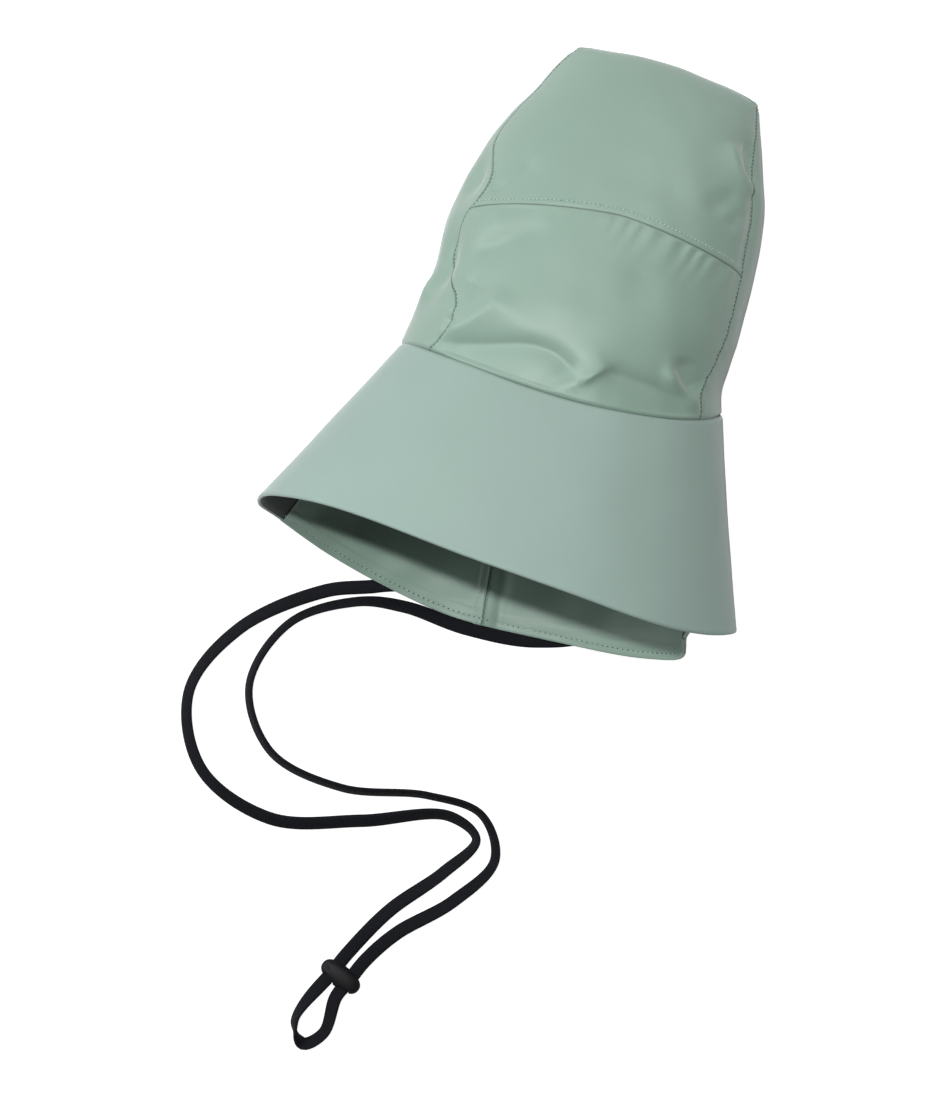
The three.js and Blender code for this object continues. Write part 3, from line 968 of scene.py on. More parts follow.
def braid_group() -> bpy.types.NodeTree:
    """Builds the flat braid: columns of slanted strands that turn back at each column's edge, and a mask of its
    low grooves where painted shade goes.
    """
    inputs = {"Place": None, "Column": 0.9 * MM, "Strand": 1.1 * MM, "Slope": 0.7}
    outputs = {"Height": "NodeSocketFloat", "Gap": "NodeSocketFloat"}
    graph, given, wanted = new_group("flat braid", inputs, outputs)
    split = graph.node("ShaderNodeSeparateXYZ")
    graph.link(given["Place"], split.inputs[0])
    columns = graph.math("DIVIDE", split.outputs[1], given["Column"])
    zigzag = graph.math("PINGPONG", columns, 1.0)
    runs = graph.math("DIVIDE", split.outputs[0], given["Strand"])
    phase = graph.math("ADD", runs, graph.math("MULTIPLY", zigzag, given["Slope"]))
    strand = graph.math("ABSOLUTE", graph.math("SINE", graph.math("MULTIPLY", phase, math.pi)))
    rib = graph.math("ABSOLUTE", graph.math("SINE", graph.math("MULTIPLY", columns, math.pi)))
    height = graph.math("ADD", graph.math("MULTIPLY", strand, 0.6), graph.math("MULTIPLY", rib, 0.4))
    graph.link(height, wanted["Height"])
    graph.link(graph.remap(height, low=0.05, high=0.45, to_low=1.0, to_high=0.0), wanted["Gap"])
    return graph.tree


def srgb(red: int, green: int, blue: int) -> Colour:
    """Turns a colour given in 0 to 255 into the linear one that shaders take."""
    def linear(value: int) -> float:
        """Removes the display's curve from one part."""
        share = value / 255
        return share / 12.92 if share <= 0.04045 else ((share + 0.055) / 1.055) ** 2.4

    return linear(red), linear(green), linear(blue)


# Finishes


@dataclass(frozen=True)
class ClothFinish:
    """A coated plain weave."""

    name: str
    colour: Colour
    roughness: float = 0.46
    roughness_swing: float = 0.05
    sheen: float = 0.35
    sheen_roughness: float = 0.4
    specular: float = 0.5
    thread: float = 0.42 * MM
    weave_depth: float = 0.04 * MM
    weave_strength: float = 0.35
    grain: float = 0.07
    grain_size: float = 1.4 * MM
    grain_height: float = 0.8
    shade: float = 0.08
    # How much darker the cloth is right beside a seam: dirt and painted shade.
    seam_dirt_and_shade: float = 0.45

    def material(self, groups: dict[str, bpy.types.NodeTree]) -> bpy.types.Material:
        """Builds the material.

        Args:
            groups: the shared node groups by name.

        Returns:
            The material.
        """
        material, graph, shader = new_material(self.name)
        place = graph.node("ShaderNodeAttribute", attribute_name="cloth_place").outputs["Vector"]
        gap = graph.node("ShaderNodeAttribute", attribute_name="seam_gap").outputs["Fac"]
        tone_inputs = {
            "Place": place,
            "Seam Gap": gap,
            "Colour": (*self.colour, 1),
            "Grain": self.grain,
            "Grain Size": self.grain_size,
            "Shade": self.shade,
            "Seam Dirt And Shade": self.seam_dirt_and_shade,
        }
        tone = graph.group(groups["tone"], tone_inputs)
        smooth, rough = self.roughness - self.roughness_swing, self.roughness + self.roughness_swing
        looks = {
            "Base Color": tone.outputs["Colour"],
            "Roughness": graph.remap(tone.outputs["Grain"], 0.3, 0.7, smooth, rough),
            "Specular IOR Level": self.specular,
            "Sheen Weight": self.sheen,
            "Sheen Roughness": self.sheen_roughness,
        }
        graph.fill(shader, looks)
        weave = graph.group(groups["weave"], {"Place": place, "Thread": self.thread})
        height = graph.math("MULTIPLY_ADD", tone.outputs["Grain"], self.grain_height, weave.outputs["Height"])
        add_bump(graph, shader, height, self.weave_strength, self.weave_depth)
        return material


@dataclass(frozen=True)
class BraidFinish:
    """A dark flat braid whose strands catch a little light, with painted shade in the low grooves between them.
    """

    name: str = "cord braid"
    colour: Colour = srgb(9, 10, 15)
    gap_shade_colour: Colour = srgb(2, 2, 4)
    fuzz_colour: Colour = srgb(22, 25, 34)
    fuzz_share: float = 0.5
    fuzz_height: float = 0.15
    roughness: float = 0.7
    specular: float = 0.2
    sheen: float = 0.02
    strength: float = 0.9
    depth: float = 0.25 * MM

    def material(self, groups: dict[str, bpy.types.NodeTree]) -> bpy.types.Material:
        """Builds the material from the shared node groups."""
        material, graph, shader = new_material(self.name)
        place = graph.node("ShaderNodeAttribute", attribute_name="braid_place").outputs["Vector"]
        braid = graph.group(groups["braid"], {"Place": place})
        fuzz = graph.noise(place, scale=900.0, detail=2.0, rough=0.6)
        fuzzy = graph.math("MULTIPLY", fuzz, self.fuzz_share)
        colour = graph.mix(fuzzy, (*self.colour, 1), (*self.fuzz_colour, 1))
        looks = {
            # The braid's low grooves get the darker gap colour: painted shade between the strands.
            "Base Color": graph.mix(braid.outputs["Gap"], colour, (*self.gap_shade_colour, 1)),
            "Roughness": self.roughness,
            "Specular IOR Level": self.specular,
            "Sheen Weight": self.sheen,
        }
        graph.fill(shader, looks)
        height = graph.math("MULTIPLY_ADD", fuzz, self.fuzz_height, braid.outputs["Height"])
        add_bump(graph, shader, height, self.strength, self.depth)
        return material


@dataclass(frozen=True)
class RubberFinish:
    """Matte moulded rubber with fine grain and lighter, rubbed edges."""

    name: str = "lock rubber"
    colour: Colour = srgb(17, 17, 20)
    rubbed: Colour = srgb(38, 36, 41)
    roughness: float = 0.6
    specular: float = 0.3
    grain: float = 0.3
    grain_size: float = 0.8 * MM
    strength: float = 0.25
    depth: float = 0.1 * MM

    def material(self, groups: dict[str, bpy.types.NodeTree]) -> bpy.types.Material:
        """Builds the material from the shared node groups."""
        material, graph, shader = new_material(self.name)
        place = graph.node("ShaderNodeTexCoord").outputs["Object"]
        tone_inputs = {
            "Place": place,
            "Colour": (*self.colour, 1),
            "Grain": self.grain,
            "Grain Size": self.grain_size,
        }
        tone = graph.group(groups["tone"], tone_inputs)
        edge = graph.node("ShaderNodeNewGeometry").outputs["Pointiness"]
        worn = graph.remap(edge, low=0.52, high=0.6, to_low=0.0, to_high=0.6)
        looks = {
            "Base Color": graph.mix(worn, tone.outputs["Colour"], (*self.rubbed, 1)),
            "Roughness": self.roughness,
            "Specular IOR Level": self.specular,
        }
        graph.fill(shader, looks)
        add_bump(graph, shader, tone.outputs["Grain"], self.strength, self.depth)
        return material


@dataclass(frozen=True)
class ThreadFinish:
    """Sewing thread, or the painted shade of a needle hole."""

    name: str
    colour: Colour
    roughness: float = 0.6
    dark_share: float = 0.7

    def material(self) -> bpy.types.Material:
        """Builds the material, whose tone follows the twist of the thread."""
        material, graph, shader = new_material(self.name)
        place = graph.node("ShaderNodeTexCoord").outputs["Object"]
        fibre = graph.noise(place, scale=2500.0, detail=2.0, rough=0.6)
        darker = tuple(part * self.dark_share for part in self.colour)
        colour = graph.mix(fibre, (*self.colour, 1), (*darker, 1))
        graph.fill(shader, {"Base Color": colour, "Roughness": self.roughness})
        return material


def new_material(name: str) -> tuple[bpy.types.Material, Graph, bpy.types.Node]:
    """Starts a material.

    Args:
        name: the material's name.

    Returns:
        The material, its graph and its shader.
    """
    material = bpy.data.materials.new(name)
    material.use_nodes = True
    shader = material.node_tree.nodes["Principled BSDF"]
    return material, Graph(material.node_tree), shader


def add_bump(
    graph: Graph, shader: bpy.types.Node, height: bpy.types.NodeSocket, strength: float, depth: float
) -> None:
    """Feeds a height through a bump node to a shader's normal."""
    bump = graph.node("ShaderNodeBump")
    graph.fill(bump, {"Strength": strength, "Distance": depth, "Height": height})
    graph.link(bump.outputs[0], shader.inputs["Normal"])


# Stitches


@dataclass
class Stitching:
    """One line of stitches: points on the cloth and the way that the cloth faces there."""

    points: Grid
    facing: Grid


@dataclass(frozen=True)
class StitchStyle:
    """The size of the stitches in a line."""

    pitch: float = 2.5 * MM
    length: float = 1.9 * MM
    thickness: float = 0.5 * MM
    hole: float = 0.3 * MM
    sink: float = 0.1 * MM


def stitch_tree() -> bpy.types.NodeTree:
    """Builds the Geometry Nodes tree that sews stitches along lines, with small dark bodies between them as
    painted shade in their needle holes.
    """
    tree = bpy.data.node_groups.new("sew stitches", "GeometryNodeTree")
    sockets = {
        "Geometry": "NodeSocketGeometry",
        "Pitch": "NodeSocketFloat",
        "Length": "NodeSocketFloat",
        "Thickness": "NodeSocketFloat",
        "Hole": "NodeSocketFloat",
        "Sink": "NodeSocketFloat",
        "Seed": "NodeSocketInt",
        "Thread": "NodeSocketMaterial",
        "Dark": "NodeSocketMaterial",
    }
    for name, kind in sockets.items():
        tree.interface.new_socket(name, in_out="INPUT", socket_type=kind)
    tree.interface.new_socket("Geometry", in_out="OUTPUT", socket_type="NodeSocketGeometry")
    graph = Graph(tree)
    given = graph.node("NodeGroupInput").outputs
    curve = graph.node("GeometryNodeMeshToCurve")
    graph.link(given["Geometry"], curve.inputs["Mesh"])
    join = graph.node("GeometryNodeJoinGeometry")
    half_pitch = graph.math("MULTIPLY", given["Pitch"], 0.5)
    thin = graph.math("MULTIPLY", given["Thickness"], 0.7)
    deep = graph.math("MULTIPLY", given["Hole"], 0.5)
    longest_line = 10.0
    kinds = (
        (curve.outputs[0], (given["Length"], given["Thickness"], thin), given["Thread"]),
        # Small dark bodies between the stitches: painted shade in the needle holes.
        (None, (given["Hole"], given["Hole"], deep), given["Dark"]),
    )
    for line, size, material in kinds:
        if line is None:
            trim = graph.node("GeometryNodeTrimCurve", mode="LENGTH")
            graph.link(curve.outputs[0], trim.inputs["Curve"])
            graph.link(half_pitch, trim.inputs[4])
            trim.inputs[5].default_value = longest_line
            line = trim.outputs[0]
        graph.link(stitch_instances(graph, given, line, size, material), join.inputs[0])
    leave = graph.node("NodeGroupOutput")
    graph.link(join.outputs[0], leave.inputs["Geometry"])
    return tree


def stitch_instances(
    graph: Graph,
    given: bpy.types.bpy_prop_collection,
    line: bpy.types.NodeSocket,
    size: Sequence[bpy.types.NodeSocket],
    material: bpy.types.NodeSocket,
) -> bpy.types.NodeSocket:
    """Sets one kind of small round body along lines.

    Args:
        graph: the tree under construction.
        given: the tree's inputs.
        line: the curves to follow.
        size: the body's size along the line, across it and off the cloth.
        material: the body's material.

    Returns:
        The realized geometry.
    """
    smallest, largest = 0.85, 1.12
    resample = graph.node("GeometryNodeResampleCurve")
    resample.mode = "LENGTH"
    graph.fill(resample, {"Curve": line, "Length": given["Pitch"]})
    ball = graph.node("GeometryNodeMeshUVSphere")
    graph.fill(ball, {"Segments": 8, "Rings": 5, "Radius": 0.5})
    scale = graph.node("ShaderNodeCombineXYZ")
    for socket, value in zip(scale.inputs, size):
        graph.link(value, socket)
    body = graph.node("GeometryNodeTransform")
    graph.fill(body, {"Geometry": ball.outputs["Mesh"], "Scale": scale.outputs[0]})
    facing = graph.node("GeometryNodeInputNamedAttribute", data_type="FLOAT_VECTOR")
    facing.inputs["Name"].default_value = "facing"
    turn = graph.node("FunctionNodeAxesToRotation", primary_axis="Z", secondary_axis="X")
    graph.link(facing.outputs[0], turn.inputs[0])
    graph.link(graph.node("GeometryNodeInputTangent").outputs[0], turn.inputs[1])
    setting = graph.node("GeometryNodeInstanceOnPoints")
    uneven = graph.node("FunctionNodeRandomValue", data_type="FLOAT")
    uneven.inputs[2].default_value = smallest
    uneven.inputs[3].default_value = largest
    graph.link(given["Seed"], uneven.inputs["Seed"])
    placing = {
        "Points": resample.outputs[0],
        "Instance": body.outputs[0],
        "Rotation": turn.outputs[0],
        "Scale": uneven.outputs[1],
    }
    graph.fill(setting, placing)
    offset = graph.node("ShaderNodeCombineXYZ")
    graph.link(graph.math("MULTIPLY", given["Sink"], -1.0), offset.inputs[2])
    drop = graph.node("GeometryNodeTranslateInstances")
    graph.fill(drop, {"Instances": setting.outputs[0], "Translation": offset.outputs[0]})
    real = graph.node("GeometryNodeRealizeInstances")
    graph.link(drop.outputs[0], real.inputs[0])
    paint = graph.node("GeometryNodeSetMaterial")
    graph.fill(paint, {"Geometry": real.outputs[0], "Material": material})
    return paint.outputs[0]


@dataclass
class Needle:
    """Sews stitches along lines on the hat, with one tree for all of them."""

    origin: Vector
    thread: bpy.types.Material
    dark_thread: bpy.types.Material
    hole: bpy.types.Material
    tree: bpy.types.NodeTree = field(default_factory=stitch_tree)

    def sew(
        self, name: str, lines: Sequence[Stitching], style: StitchStyle, dark: bool = False
    ) -> bpy.types.Object:
        """Sews stitches along some lines as one piece.

        Args:
            name: the piece's name.
            lines: the lines, in the hat's plan.
            style: the stitches' size.
            dark: whether the darker thread is used.

        Returns:
            The piece.
        """
        points = np.concatenate([line.points for line in lines]) + np.array(self.origin)
        starts = np.cumsum([0] + [len(line.points) for line in lines])
        edges = [(i, i + 1) for low, high in zip(starts[:-1], starts[1:]) for i in range(low, high - 1)]
        guide = bpy.data.meshes.new(name + "_guide")
        guide.from_pydata(points.tolist(), edges, [])
        set_attribute(guide, "facing", np.concatenate([line.facing for line in lines]))
        maker = add_object(name + "_guide", guide)
        modifier = maker.modifiers.new("sew", "NODES")
        modifier.node_group = self.tree
        values = {
            "Pitch": style.pitch,
            "Length": style.length,
            "Thickness": style.thickness,
            "Hole": style.hole,
            "Sink": style.sink,
            "Seed": SEED,
            "Thread": self.dark_thread if dark else self.thread,
            "Dark": self.hole,
        }
        for item in self.tree.interface.items_tree:
            if item.in_out == "INPUT" and item.name in values:
                modifier[item.identifier] = values[item.name]
        mesh = evaluated_mesh(maker, name)
        mesh.shade_smooth()
        bpy.data.objects.remove(maker)
        return place_piece(mesh, self.thread)


# The hat's sub-assemblies


CREASES = (
    Crease(((-70, 0), (-48, 5), (-38, 8), (-28, 11), (-18, 12.5), (-8, 11.5), (0, 8), (6, 3), (10, -1.5)),
           -4.9, 4.5, 12, True, 0.14),
    Crease(((-45, 40), (-44, 31), (-49, 23), (-56, 15), (-64, 8), (-72, 1)), 4.0, 7, 9, True, 0.25),
    Crease(((-66, 40), (-58, 34), (-52, 30)), -1.8, 6, 6),
    Crease(((9, -3), (15, 4), (20, 9), (25, 13)), 2.8, 5, 1.6, True, 0.3),
    Crease(((14, 7), (22, 9), (30, 9.5), (43, 8.5), (57, 8), (70, 7), (80, 3)), -4.0, 5, 8, True, 0.25),
    Crease(((54, 25), (55.5, 19), (59, 14), (66, 9.5), (74, 6.5), (82, 4)), 3.2, 4.5, 4),
    Crease(((60, 30), (62.5, 22), (68.5, 16), (76, 11)), -3.2, 6, 4),
    Crease(((-69, 49), (-50, 66), (-29, 81)), -3.0, 6, 8),
    Crease(((-95, 17), (-88.5, 23), (-82, 31), (-77, 38)), 2.4, 7, 3.5),
    Crease(((-46, 118), (-50, 111.5), (-58.5, 98.5), (-64, 92), (-71, 85.5)), -3.0, 9, 3.5, True, 0.3),
    Crease(((53, 156), (58.4, 146), (62, 140), (66.8, 135), (72, 131), (79, 127)), 3.2, 4.5, 4.5, True, 0.25),
    Crease(((62, 162), (66, 151), (70, 141), (75, 134)), -2.6, 3.5, 3),
    Crease(((68, 128), (59, 120), (52, 110)), -1.8, 6, 6),
    Crease(((73, 120), (65, 104)), -1.2, 4, 5),
    Crease(((31, 70), (24, 45)), -0.9, 12, 12),
)


@dataclass
class Crown:
    """The crown's four sewn panels, with their folds and seams.

    A span says between which shares of an edge stitches run; those of the top panel leave out its corners.
    """

    form: HatForm
    wall: float = 1.2 * MM
    seam_calm: float = 4 * MM
    back_slope: tuple[float, float] = (0.05, 0.45)
    table_lift: tuple[float, float] = (1 * MM, 6 * MM)
    arch_gap: float = 3.5 * MM
    arch_span: tuple[float, float] = (0.02, 0.98)
    side_gap: float = 1.1 * MM
    front_span: tuple[float, float] = (0.0, 0.98)
    top_spans: tuple[tuple[float, float], ...] = ((0.01, 0.39), (0.445, 0.98))
    undulation: Ripples = Ripples(0.22 * MM, 24 * MM, 80 * MM, 18, 3)

    def relief(self, patch: Patch) -> Grid:
        """Gives the cloth's fine folds, which fade out round the back."""
        facing = smoothstep(patch.normals[..., 2], *self.back_slope)
        total = self.undulation.at(patch.points)
        for crease in CREASES:
            total = total + facing * crease.at(patch.points)
        lifted = smoothstep(patch.points[..., 2], *self.table_lift)
        return total * lifted * smoothstep(patch.seam_distance(list(Edge)), 0, self.seam_calm)

    def panels(self) -> dict[str, SewnPanel]:
        """Works out the four panels by name."""
        form = self.form
        arch = Seam(
            Edge.HIGH,
            dive=0.6 * MM,
            dive_reach=0.6 * MM,
            pucker=0.55 * MM,
            pucker_pitch=10.5 * MM,
            pucker_length=12 * MM,
            pucker_slant=-0.15,
            pucker_from=0,
        )
        brim = Seam(Edge.LOW, dive=1.3 * MM, dive_reach=1.3 * MM, to_axis=True)
        side = {
            "dive": 0.35 * MM,
            "dive_reach": 0.55 * MM,
            "pucker": 0.2 * MM,
            "pucker_pitch": 7.5 * MM,
            "pucker_length": 5 * MM,
            "seed": 11,
        }
        sides = (Seam(Edge.LEFT, **side), Seam(Edge.RIGHT, **side))
        turned = Seam(Edge.LOW, allowance=0.35 * MM, allowance_width=3.5 * MM)
        front = SewnPanel(
            "front_panel",
            "crown_front_panel",
            form.front_panel,
            self.wall,
            across=170,
            along=100,
            seams=(arch, brim, *sides),
            reliefs=(self.relief,),
        )
        top = SewnPanel(
            "top_and_back_panel",
            "crown_top_panel",
            form.top_panel,
            self.wall,
            across=130,
            along=260,
            seams=(turned, replace(brim, edge=Edge.HIGH), *sides),
            reliefs=(self.relief,),
        )
        panels = {"front": front, "top": top}
        for name, direction in (("left", -1), ("right", 1)):
            panels[name] = SewnPanel(
                f"{name}_side_panel",
                f"crown_{name}_panel",
                form.side_panel(direction),
                self.wall,
                across=80,
                along=170,
                seams=(brim, *sides),
                reliefs=(self.relief,),
            )
        return panels

    def build(self, origin: Vector, cloth: bpy.types.Material, needle: Needle) -> None:
        """Builds the panels and sews them."""
        panels = self.panels()
        for panel in panels.values():
            panel.build(origin, cloth)
        arch = [panels["top"].line(Edge.LOW, self.arch_gap, *self.arch_span)]
        raised = StitchStyle(2.4 * MM, 1.9 * MM, thickness=1.0 * MM, hole=0.6 * MM, sink=-0.1 * MM)
        needle.sew("arch_stitches", arch, raised)
        sides = []
        for edge in (Edge.LEFT, Edge.RIGHT):
            sides.append(panels["front"].line(edge, self.side_gap, *self.front_span))
            sides += [panels["top"].line(edge, self.side_gap, *span) for span in self.top_spans]
        flat = StitchStyle(2.5 * MM, 1.6 * MM, thickness=0.8 * MM, hole=0.5 * MM, sink=0)
        needle.sew("side_stitches", sides, flat, dark=True)


@dataclass
class Brim:
    """The stiff bill and the two halves of the soft cape behind it."""

    form: HatForm
    bill_wall: float = 2.4 * MM
    cape_wall: float = 1.4 * MM
    lip_rise: float = 0.12 * MM
    lip_width: float = 1.2 * MM
    calm_width: float = 20 * MM
    hem_width: float = 8 * MM
    hem_rise: float = 0.35 * MM
    hem_slope: tuple[float, float] = (-0.6 * MM, 0.4 * MM)
    hem_gap: float = 2.9 * MM
    hem_pull: float = 0.2 * MM
    pull_spread: float = 0.7 * MM
    fell_width: float = 5 * MM
    fell_rise: float = 0.5 * MM
    fell_slope: tuple[float, float] = (-0.7 * MM, 0.5 * MM)
    fell_gap: float = 0.9 * MM
    fell_fold: float = 1.1 * MM
    fold_gap: float = 9.5 * MM
    fold_spread: float = 3.5 * MM
    topstitch_gap: float = 1.1 * MM
    bill_waver: Ripples = Ripples(0.12 * MM, 30 * MM, 90 * MM, 10, 5)
    cape_waver: Ripples = Ripples(0.5 * MM, 22 * MM, 70 * MM, 12, 9)

    def bill_relief(self, patch: Patch) -> Grid:
        """Gives the bill's faint unevenness and the lip along its edge."""
        gap = patch.distance[Edge.LOW]
        lip = self.lip_rise * (1 - smoothstep(gap, self.lip_width, 2 * self.lip_width))
        return self.bill_waver.at(patch.points) + lip

    def cape_relief(self, patch: Patch) -> Grid:
        """Gives the cape's soft waves, which are flat at its seams."""
        return self.cape_waver.at(patch.points) * smoothstep(patch.distance[Edge.HIGH], 0, self.calm_width)

    def fold_beside_fell(self, patch: Patch) -> Grid:
        """Gives the soft fold that the felled seam pulls into the cape's right half."""
        gap = patch.distance[Edge.RIGHT]
        return self.fell_fold * np.exp(-(((gap - self.fold_gap) / self.fold_spread) ** 2))

    def hem(self, patch: Patch) -> Grid:
        """Gives the turned hem on the cape's inner face, with the pull of its stitches."""
        gap = patch.distance[Edge.LOW]
        start, stop = (self.hem_width + step for step in self.hem_slope)
        turned = 1 - smoothstep(gap, start, stop)
        pull = self.hem_pull * np.exp(-(((gap - self.hem_gap) / self.pull_spread) ** 2))
        return self.hem_rise * turned - pull

    def fell(self, patch: Patch) -> Grid:
        """Gives the felled seam down the middle of the cape, on its left half's inner face."""
        gap = patch.distance[Edge.LEFT]
        start, stop = (self.fell_width + step for step in self.fell_slope)
        return self.fell_rise * (1 - smoothstep(gap, start, stop))

    def build(
        self,
        origin: Vector,
        bill_cloth: bpy.types.Material,
        bill_inner_face_shade: bpy.types.Material,
        cape_cloth: bpy.types.Material,
        needle: Needle,
    ) -> None:
        """Builds bill and cape and sews the cape's hem and middle seam."""
        form = self.form
        joins = tuple(Seam(edge, dive=0.5 * MM, dive_reach=0.8 * MM) for edge in (Edge.LEFT, Edge.RIGHT))
        seams = (Seam(Edge.HIGH, dive=1.3 * MM, dive_reach=0.8 * MM, to_axis=True), *joins)
        bill = SewnPanel(
            "bill",
            "brim_front",
            form.bill,
            self.bill_wall,
            across=300,
            along=66,
            seams=seams,
            reliefs=(self.bill_relief,),
            free_edge=True,
        )
        left = SewnPanel(
            "cape_left",
            "brim_back_left",
            form.left_cape,
            self.cape_wall,
            across=90,
            along=100,
            seams=seams,
            reliefs=(self.cape_relief,),
            lining_reliefs=(self.hem, self.fell),
            free_edge=True,
        )
        right = SewnPanel(
            "cape_right",
            "brim_back_right",
            form.right_cape,
            self.cape_wall,
            across=90,
            along=100,
            seams=seams,
            reliefs=(self.cape_relief, self.fold_beside_fell),
            lining_reliefs=(self.hem,),
            free_edge=True,
        )
        # The bill's inner face gets the dark material: painted shade under the bill.
        bill.build(origin, bill_cloth, bill_inner_face_shade)
        left.build(origin, cape_cloth)
        right.build(origin, cape_cloth)
        hems = []
        for half in (left, right):
            hems += [half.line(Edge.LOW, self.hem_gap, inside=inside) for inside in (True, False)]
        long_stitch = StitchStyle(3.1 * MM, 1.9 * MM, thickness=0.75 * MM, hole=1.0 * MM)
        needle.sew("hem_stitches", hems, long_stitch)
        fell = [left.line(Edge.LEFT, self.fell_width - self.fell_gap, inside=True)]
        fell.append(right.line(Edge.RIGHT, self.topstitch_gap, inside=True))
        fine_stitch = StitchStyle(2.6 * MM, 1.8 * MM, thickness=0.6 * MM, hole=0.5 * MM)
        needle.sew("cape_seam_stitches", fell, fine_stitch)


# The cord's route in millimetres of the hat's plan: x, y, z, and how far the tape turns up on its edge, in
# degrees. It leaves the brim seam at the left, passes the lock twice with the loop between, and comes back.
CORD_ROUTE = (
    (-57, -5, 13.0, 0),
    (-45, -36, 1.6, 0),
    (-33, -88, 1.5, 0),
    (-43, -127, 1.5, 0),
    (-68, -139.5, 1.5, 2),
    (-97, -151, 1.5, 8),
    (-138, -185, 1.5, 30),
    (-156, -228, 1.5, 42),
    (-137, -269, 1.5, 34),
    (-91, -285.6, 1.5, 24),
    (-40, -272.5, 1.5, 24),
    (8, -255.8, 1.5, 42),
    (27, -264.5, 1.5, 58),
    (14, -288, 1.5, 36),
    (-10, -318, 1.5, 12),
    (-26.6, -348.5, 4.2, 0),
    (-31.4, -360, 4.5, 0),
    (-45, -394, 1.7, 62),
    (-37, -405.3, 1.5, 146),
    (-27, -396, 1.7, 140),
    (-25.9, -374.2, 4.2, 160),
    (-21.6, -364, 4.5, 180),
    (-15.2, -348.8, 4.2, 180),
    (-2, -329, 1.5, 170),
    (24, -302.5, 1.5, 148),
    (40.5, -273, 1.5, 126),
    (26, -250, 1.5, 118),
    (-7, -247.8, 1.5, 118),
    (-56, -257.2, 1.5, 120),
    (-101, -248.5, 1.5, 120),
    (-123.5, -215, 1.5, 118),
    (-111, -174, 1.5, 120),
    (-77, -151.5, 1.5, 128),
    (-50, -146.8, 1.5, 148),
    (-12, -149, 1.5, 176),
    (28, -145, 1.5, 180),
    (60, -130, 1.5, 180),
    (76, -90, 1.5, 180),
    (72, -34, 1.6, 180),
    (61, -5.5, 13.5, 180),
)


@dataclass
class ChinCord:
    """The flat braided cord, one length from seam to seam."""

    width: float = 8 * MM
    thickness: float = 2.6 * MM
    clearance: float = 0.2 * MM
    ring_spacing: float = 1.6 * MM
    ring_corners: int = 28
    squareness: float = 2.8

    def route(self) -> tuple[Grid, Grid]:
        """Works out the cord's centre line, with the tape clear of the table however it is turned.

        Returns:
            The centres, in the hat's plan, and the turn of the tape at each.
        """
        rows = np.array(CORD_ROUTE)
        corners, turns = rows[:, :3] * MM, np.radians(rows[:, 3])
        fine, fine_turns = centripetal(corners, turns, steps=24)
        reached = distances_along(fine)
        even = np.linspace(0, reached[-1], round(reached[-1] / self.ring_spacing) + 1)
        centres = np.stack([np.interp(even, reached, fine[:, k]) for k in range(3)], axis=1)
        tape_turns = np.interp(even, reached, fine_turns)
        lift = self.width / 2 * np.abs(np.sin(tape_turns)) + self.thickness / 2 * np.abs(np.cos(tape_turns))
        centres[:, 2] = np.maximum(centres[:, 2], lift + self.clearance)
        return centres, tape_turns

    def build(self, origin: Vector, braid: bpy.types.Material, lock: bpy.types.Object) -> bpy.types.Object:
        """Args:
            origin: where the hat's plan has its origin in the frame.
            braid: the cord's material.
            lock: the lock that sits on it; not used.

        Returns:
            The cord.
        """
        centres, turns = self.route()
        centres = centres + np.array(origin)
        tangent = unit(np.gradient(centres, axis=0))
        side = unit(np.cross([0.0, 0.0, 1.0], tangent))
        up = np.cross(tangent, side)
        wide = side * np.cos(turns)[:, None] + up * np.sin(turns)[:, None]
        thin = np.cross(tangent, wide)
        angle = np.linspace(0, 2 * math.pi, self.ring_corners, endpoint=False)
        power = 2 / self.squareness
        across = self.width / 2 * np.sign(np.cos(angle)) * np.abs(np.cos(angle)) ** power
        off = self.thickness / 2 * np.sign(np.sin(angle)) * np.abs(np.sin(angle)) ** power
        rings = centres[:, None] + across[None, :, None] * wide[:, None] + off[None, :, None] * thin[:, None]
        points = np.vstack([rings.reshape(-1, 3), centres[0], centres[-1]])
        mesh = closed_mesh("chin_cord_braid", points, tube_faces(*rings.shape[:2]))
        reached = distances_along(centres)
        place = np.stack(np.broadcast_arrays(reached[:, None], across[None, :], 0.0), axis=-1).reshape(-1, 3)
        set_attribute(mesh, "braid_place", np.vstack([place, np.zeros((2, 3))]))
        cord = place_piece(mesh, braid, ("chin_cord",))
        log.info("cord length: %.3f m", reached[-1])
        return cord


def centripetal(corners: Grid, extra: Grid, steps: int) -> tuple[Grid, Grid]:
    """Draws a smooth curve through points, with a value that eases from point to point.

    Args:
        corners: the points.
        extra: a value at each point.
        steps: how many steps the curve takes between two points.

    Returns:
        The curve's points and the value at each.
    """
    padded = np.vstack([2 * corners[0] - corners[1], corners, 2 * corners[-1] - corners[-2]])
    knots = np.concatenate([[0], np.cumsum(np.linalg.norm(np.diff(padded, axis=0), axis=1) ** 0.5)])
    points, values = [], []
    for i in range(1, len(padded) - 2):
        t = np.linspace(knots[i], knots[i + 1], steps, endpoint=False)[:, None]
        t0, t1, t2, t3 = knots[i - 1 : i + 3]
        p0, p1, p2, p3 = padded[i - 1 : i + 3]
        a1 = p0 * (t1 - t) / (t1 - t0) + p1 * (t - t0) / (t1 - t0)
        a2 = p1 * (t2 - t) / (t2 - t1) + p2 * (t - t1) / (t2 - t1)
        a3 = p2 * (t3 - t) / (t3 - t2) + p3 * (t - t2) / (t3 - t2)
        b1 = a1 * (t2 - t) / (t2 - t0) + a2 * (t - t0) / (t2 - t0)
        b2 = a2 * (t3 - t) / (t3 - t1) + a3 * (t - t1) / (t3 - t1)
        points.append(b1 * (t2 - t) / (t2 - t1) + b2 * (t - t1) / (t2 - t1))
        share = smoothstep(np.linspace(0, 1, steps, endpoint=False), 0, 1)
        values.append(lerp(extra[i - 1], extra[i], share))
    points.append(corners[-1:])
    values.append(extra[-1:])
    return np.vstack(points), np.concatenate(values)


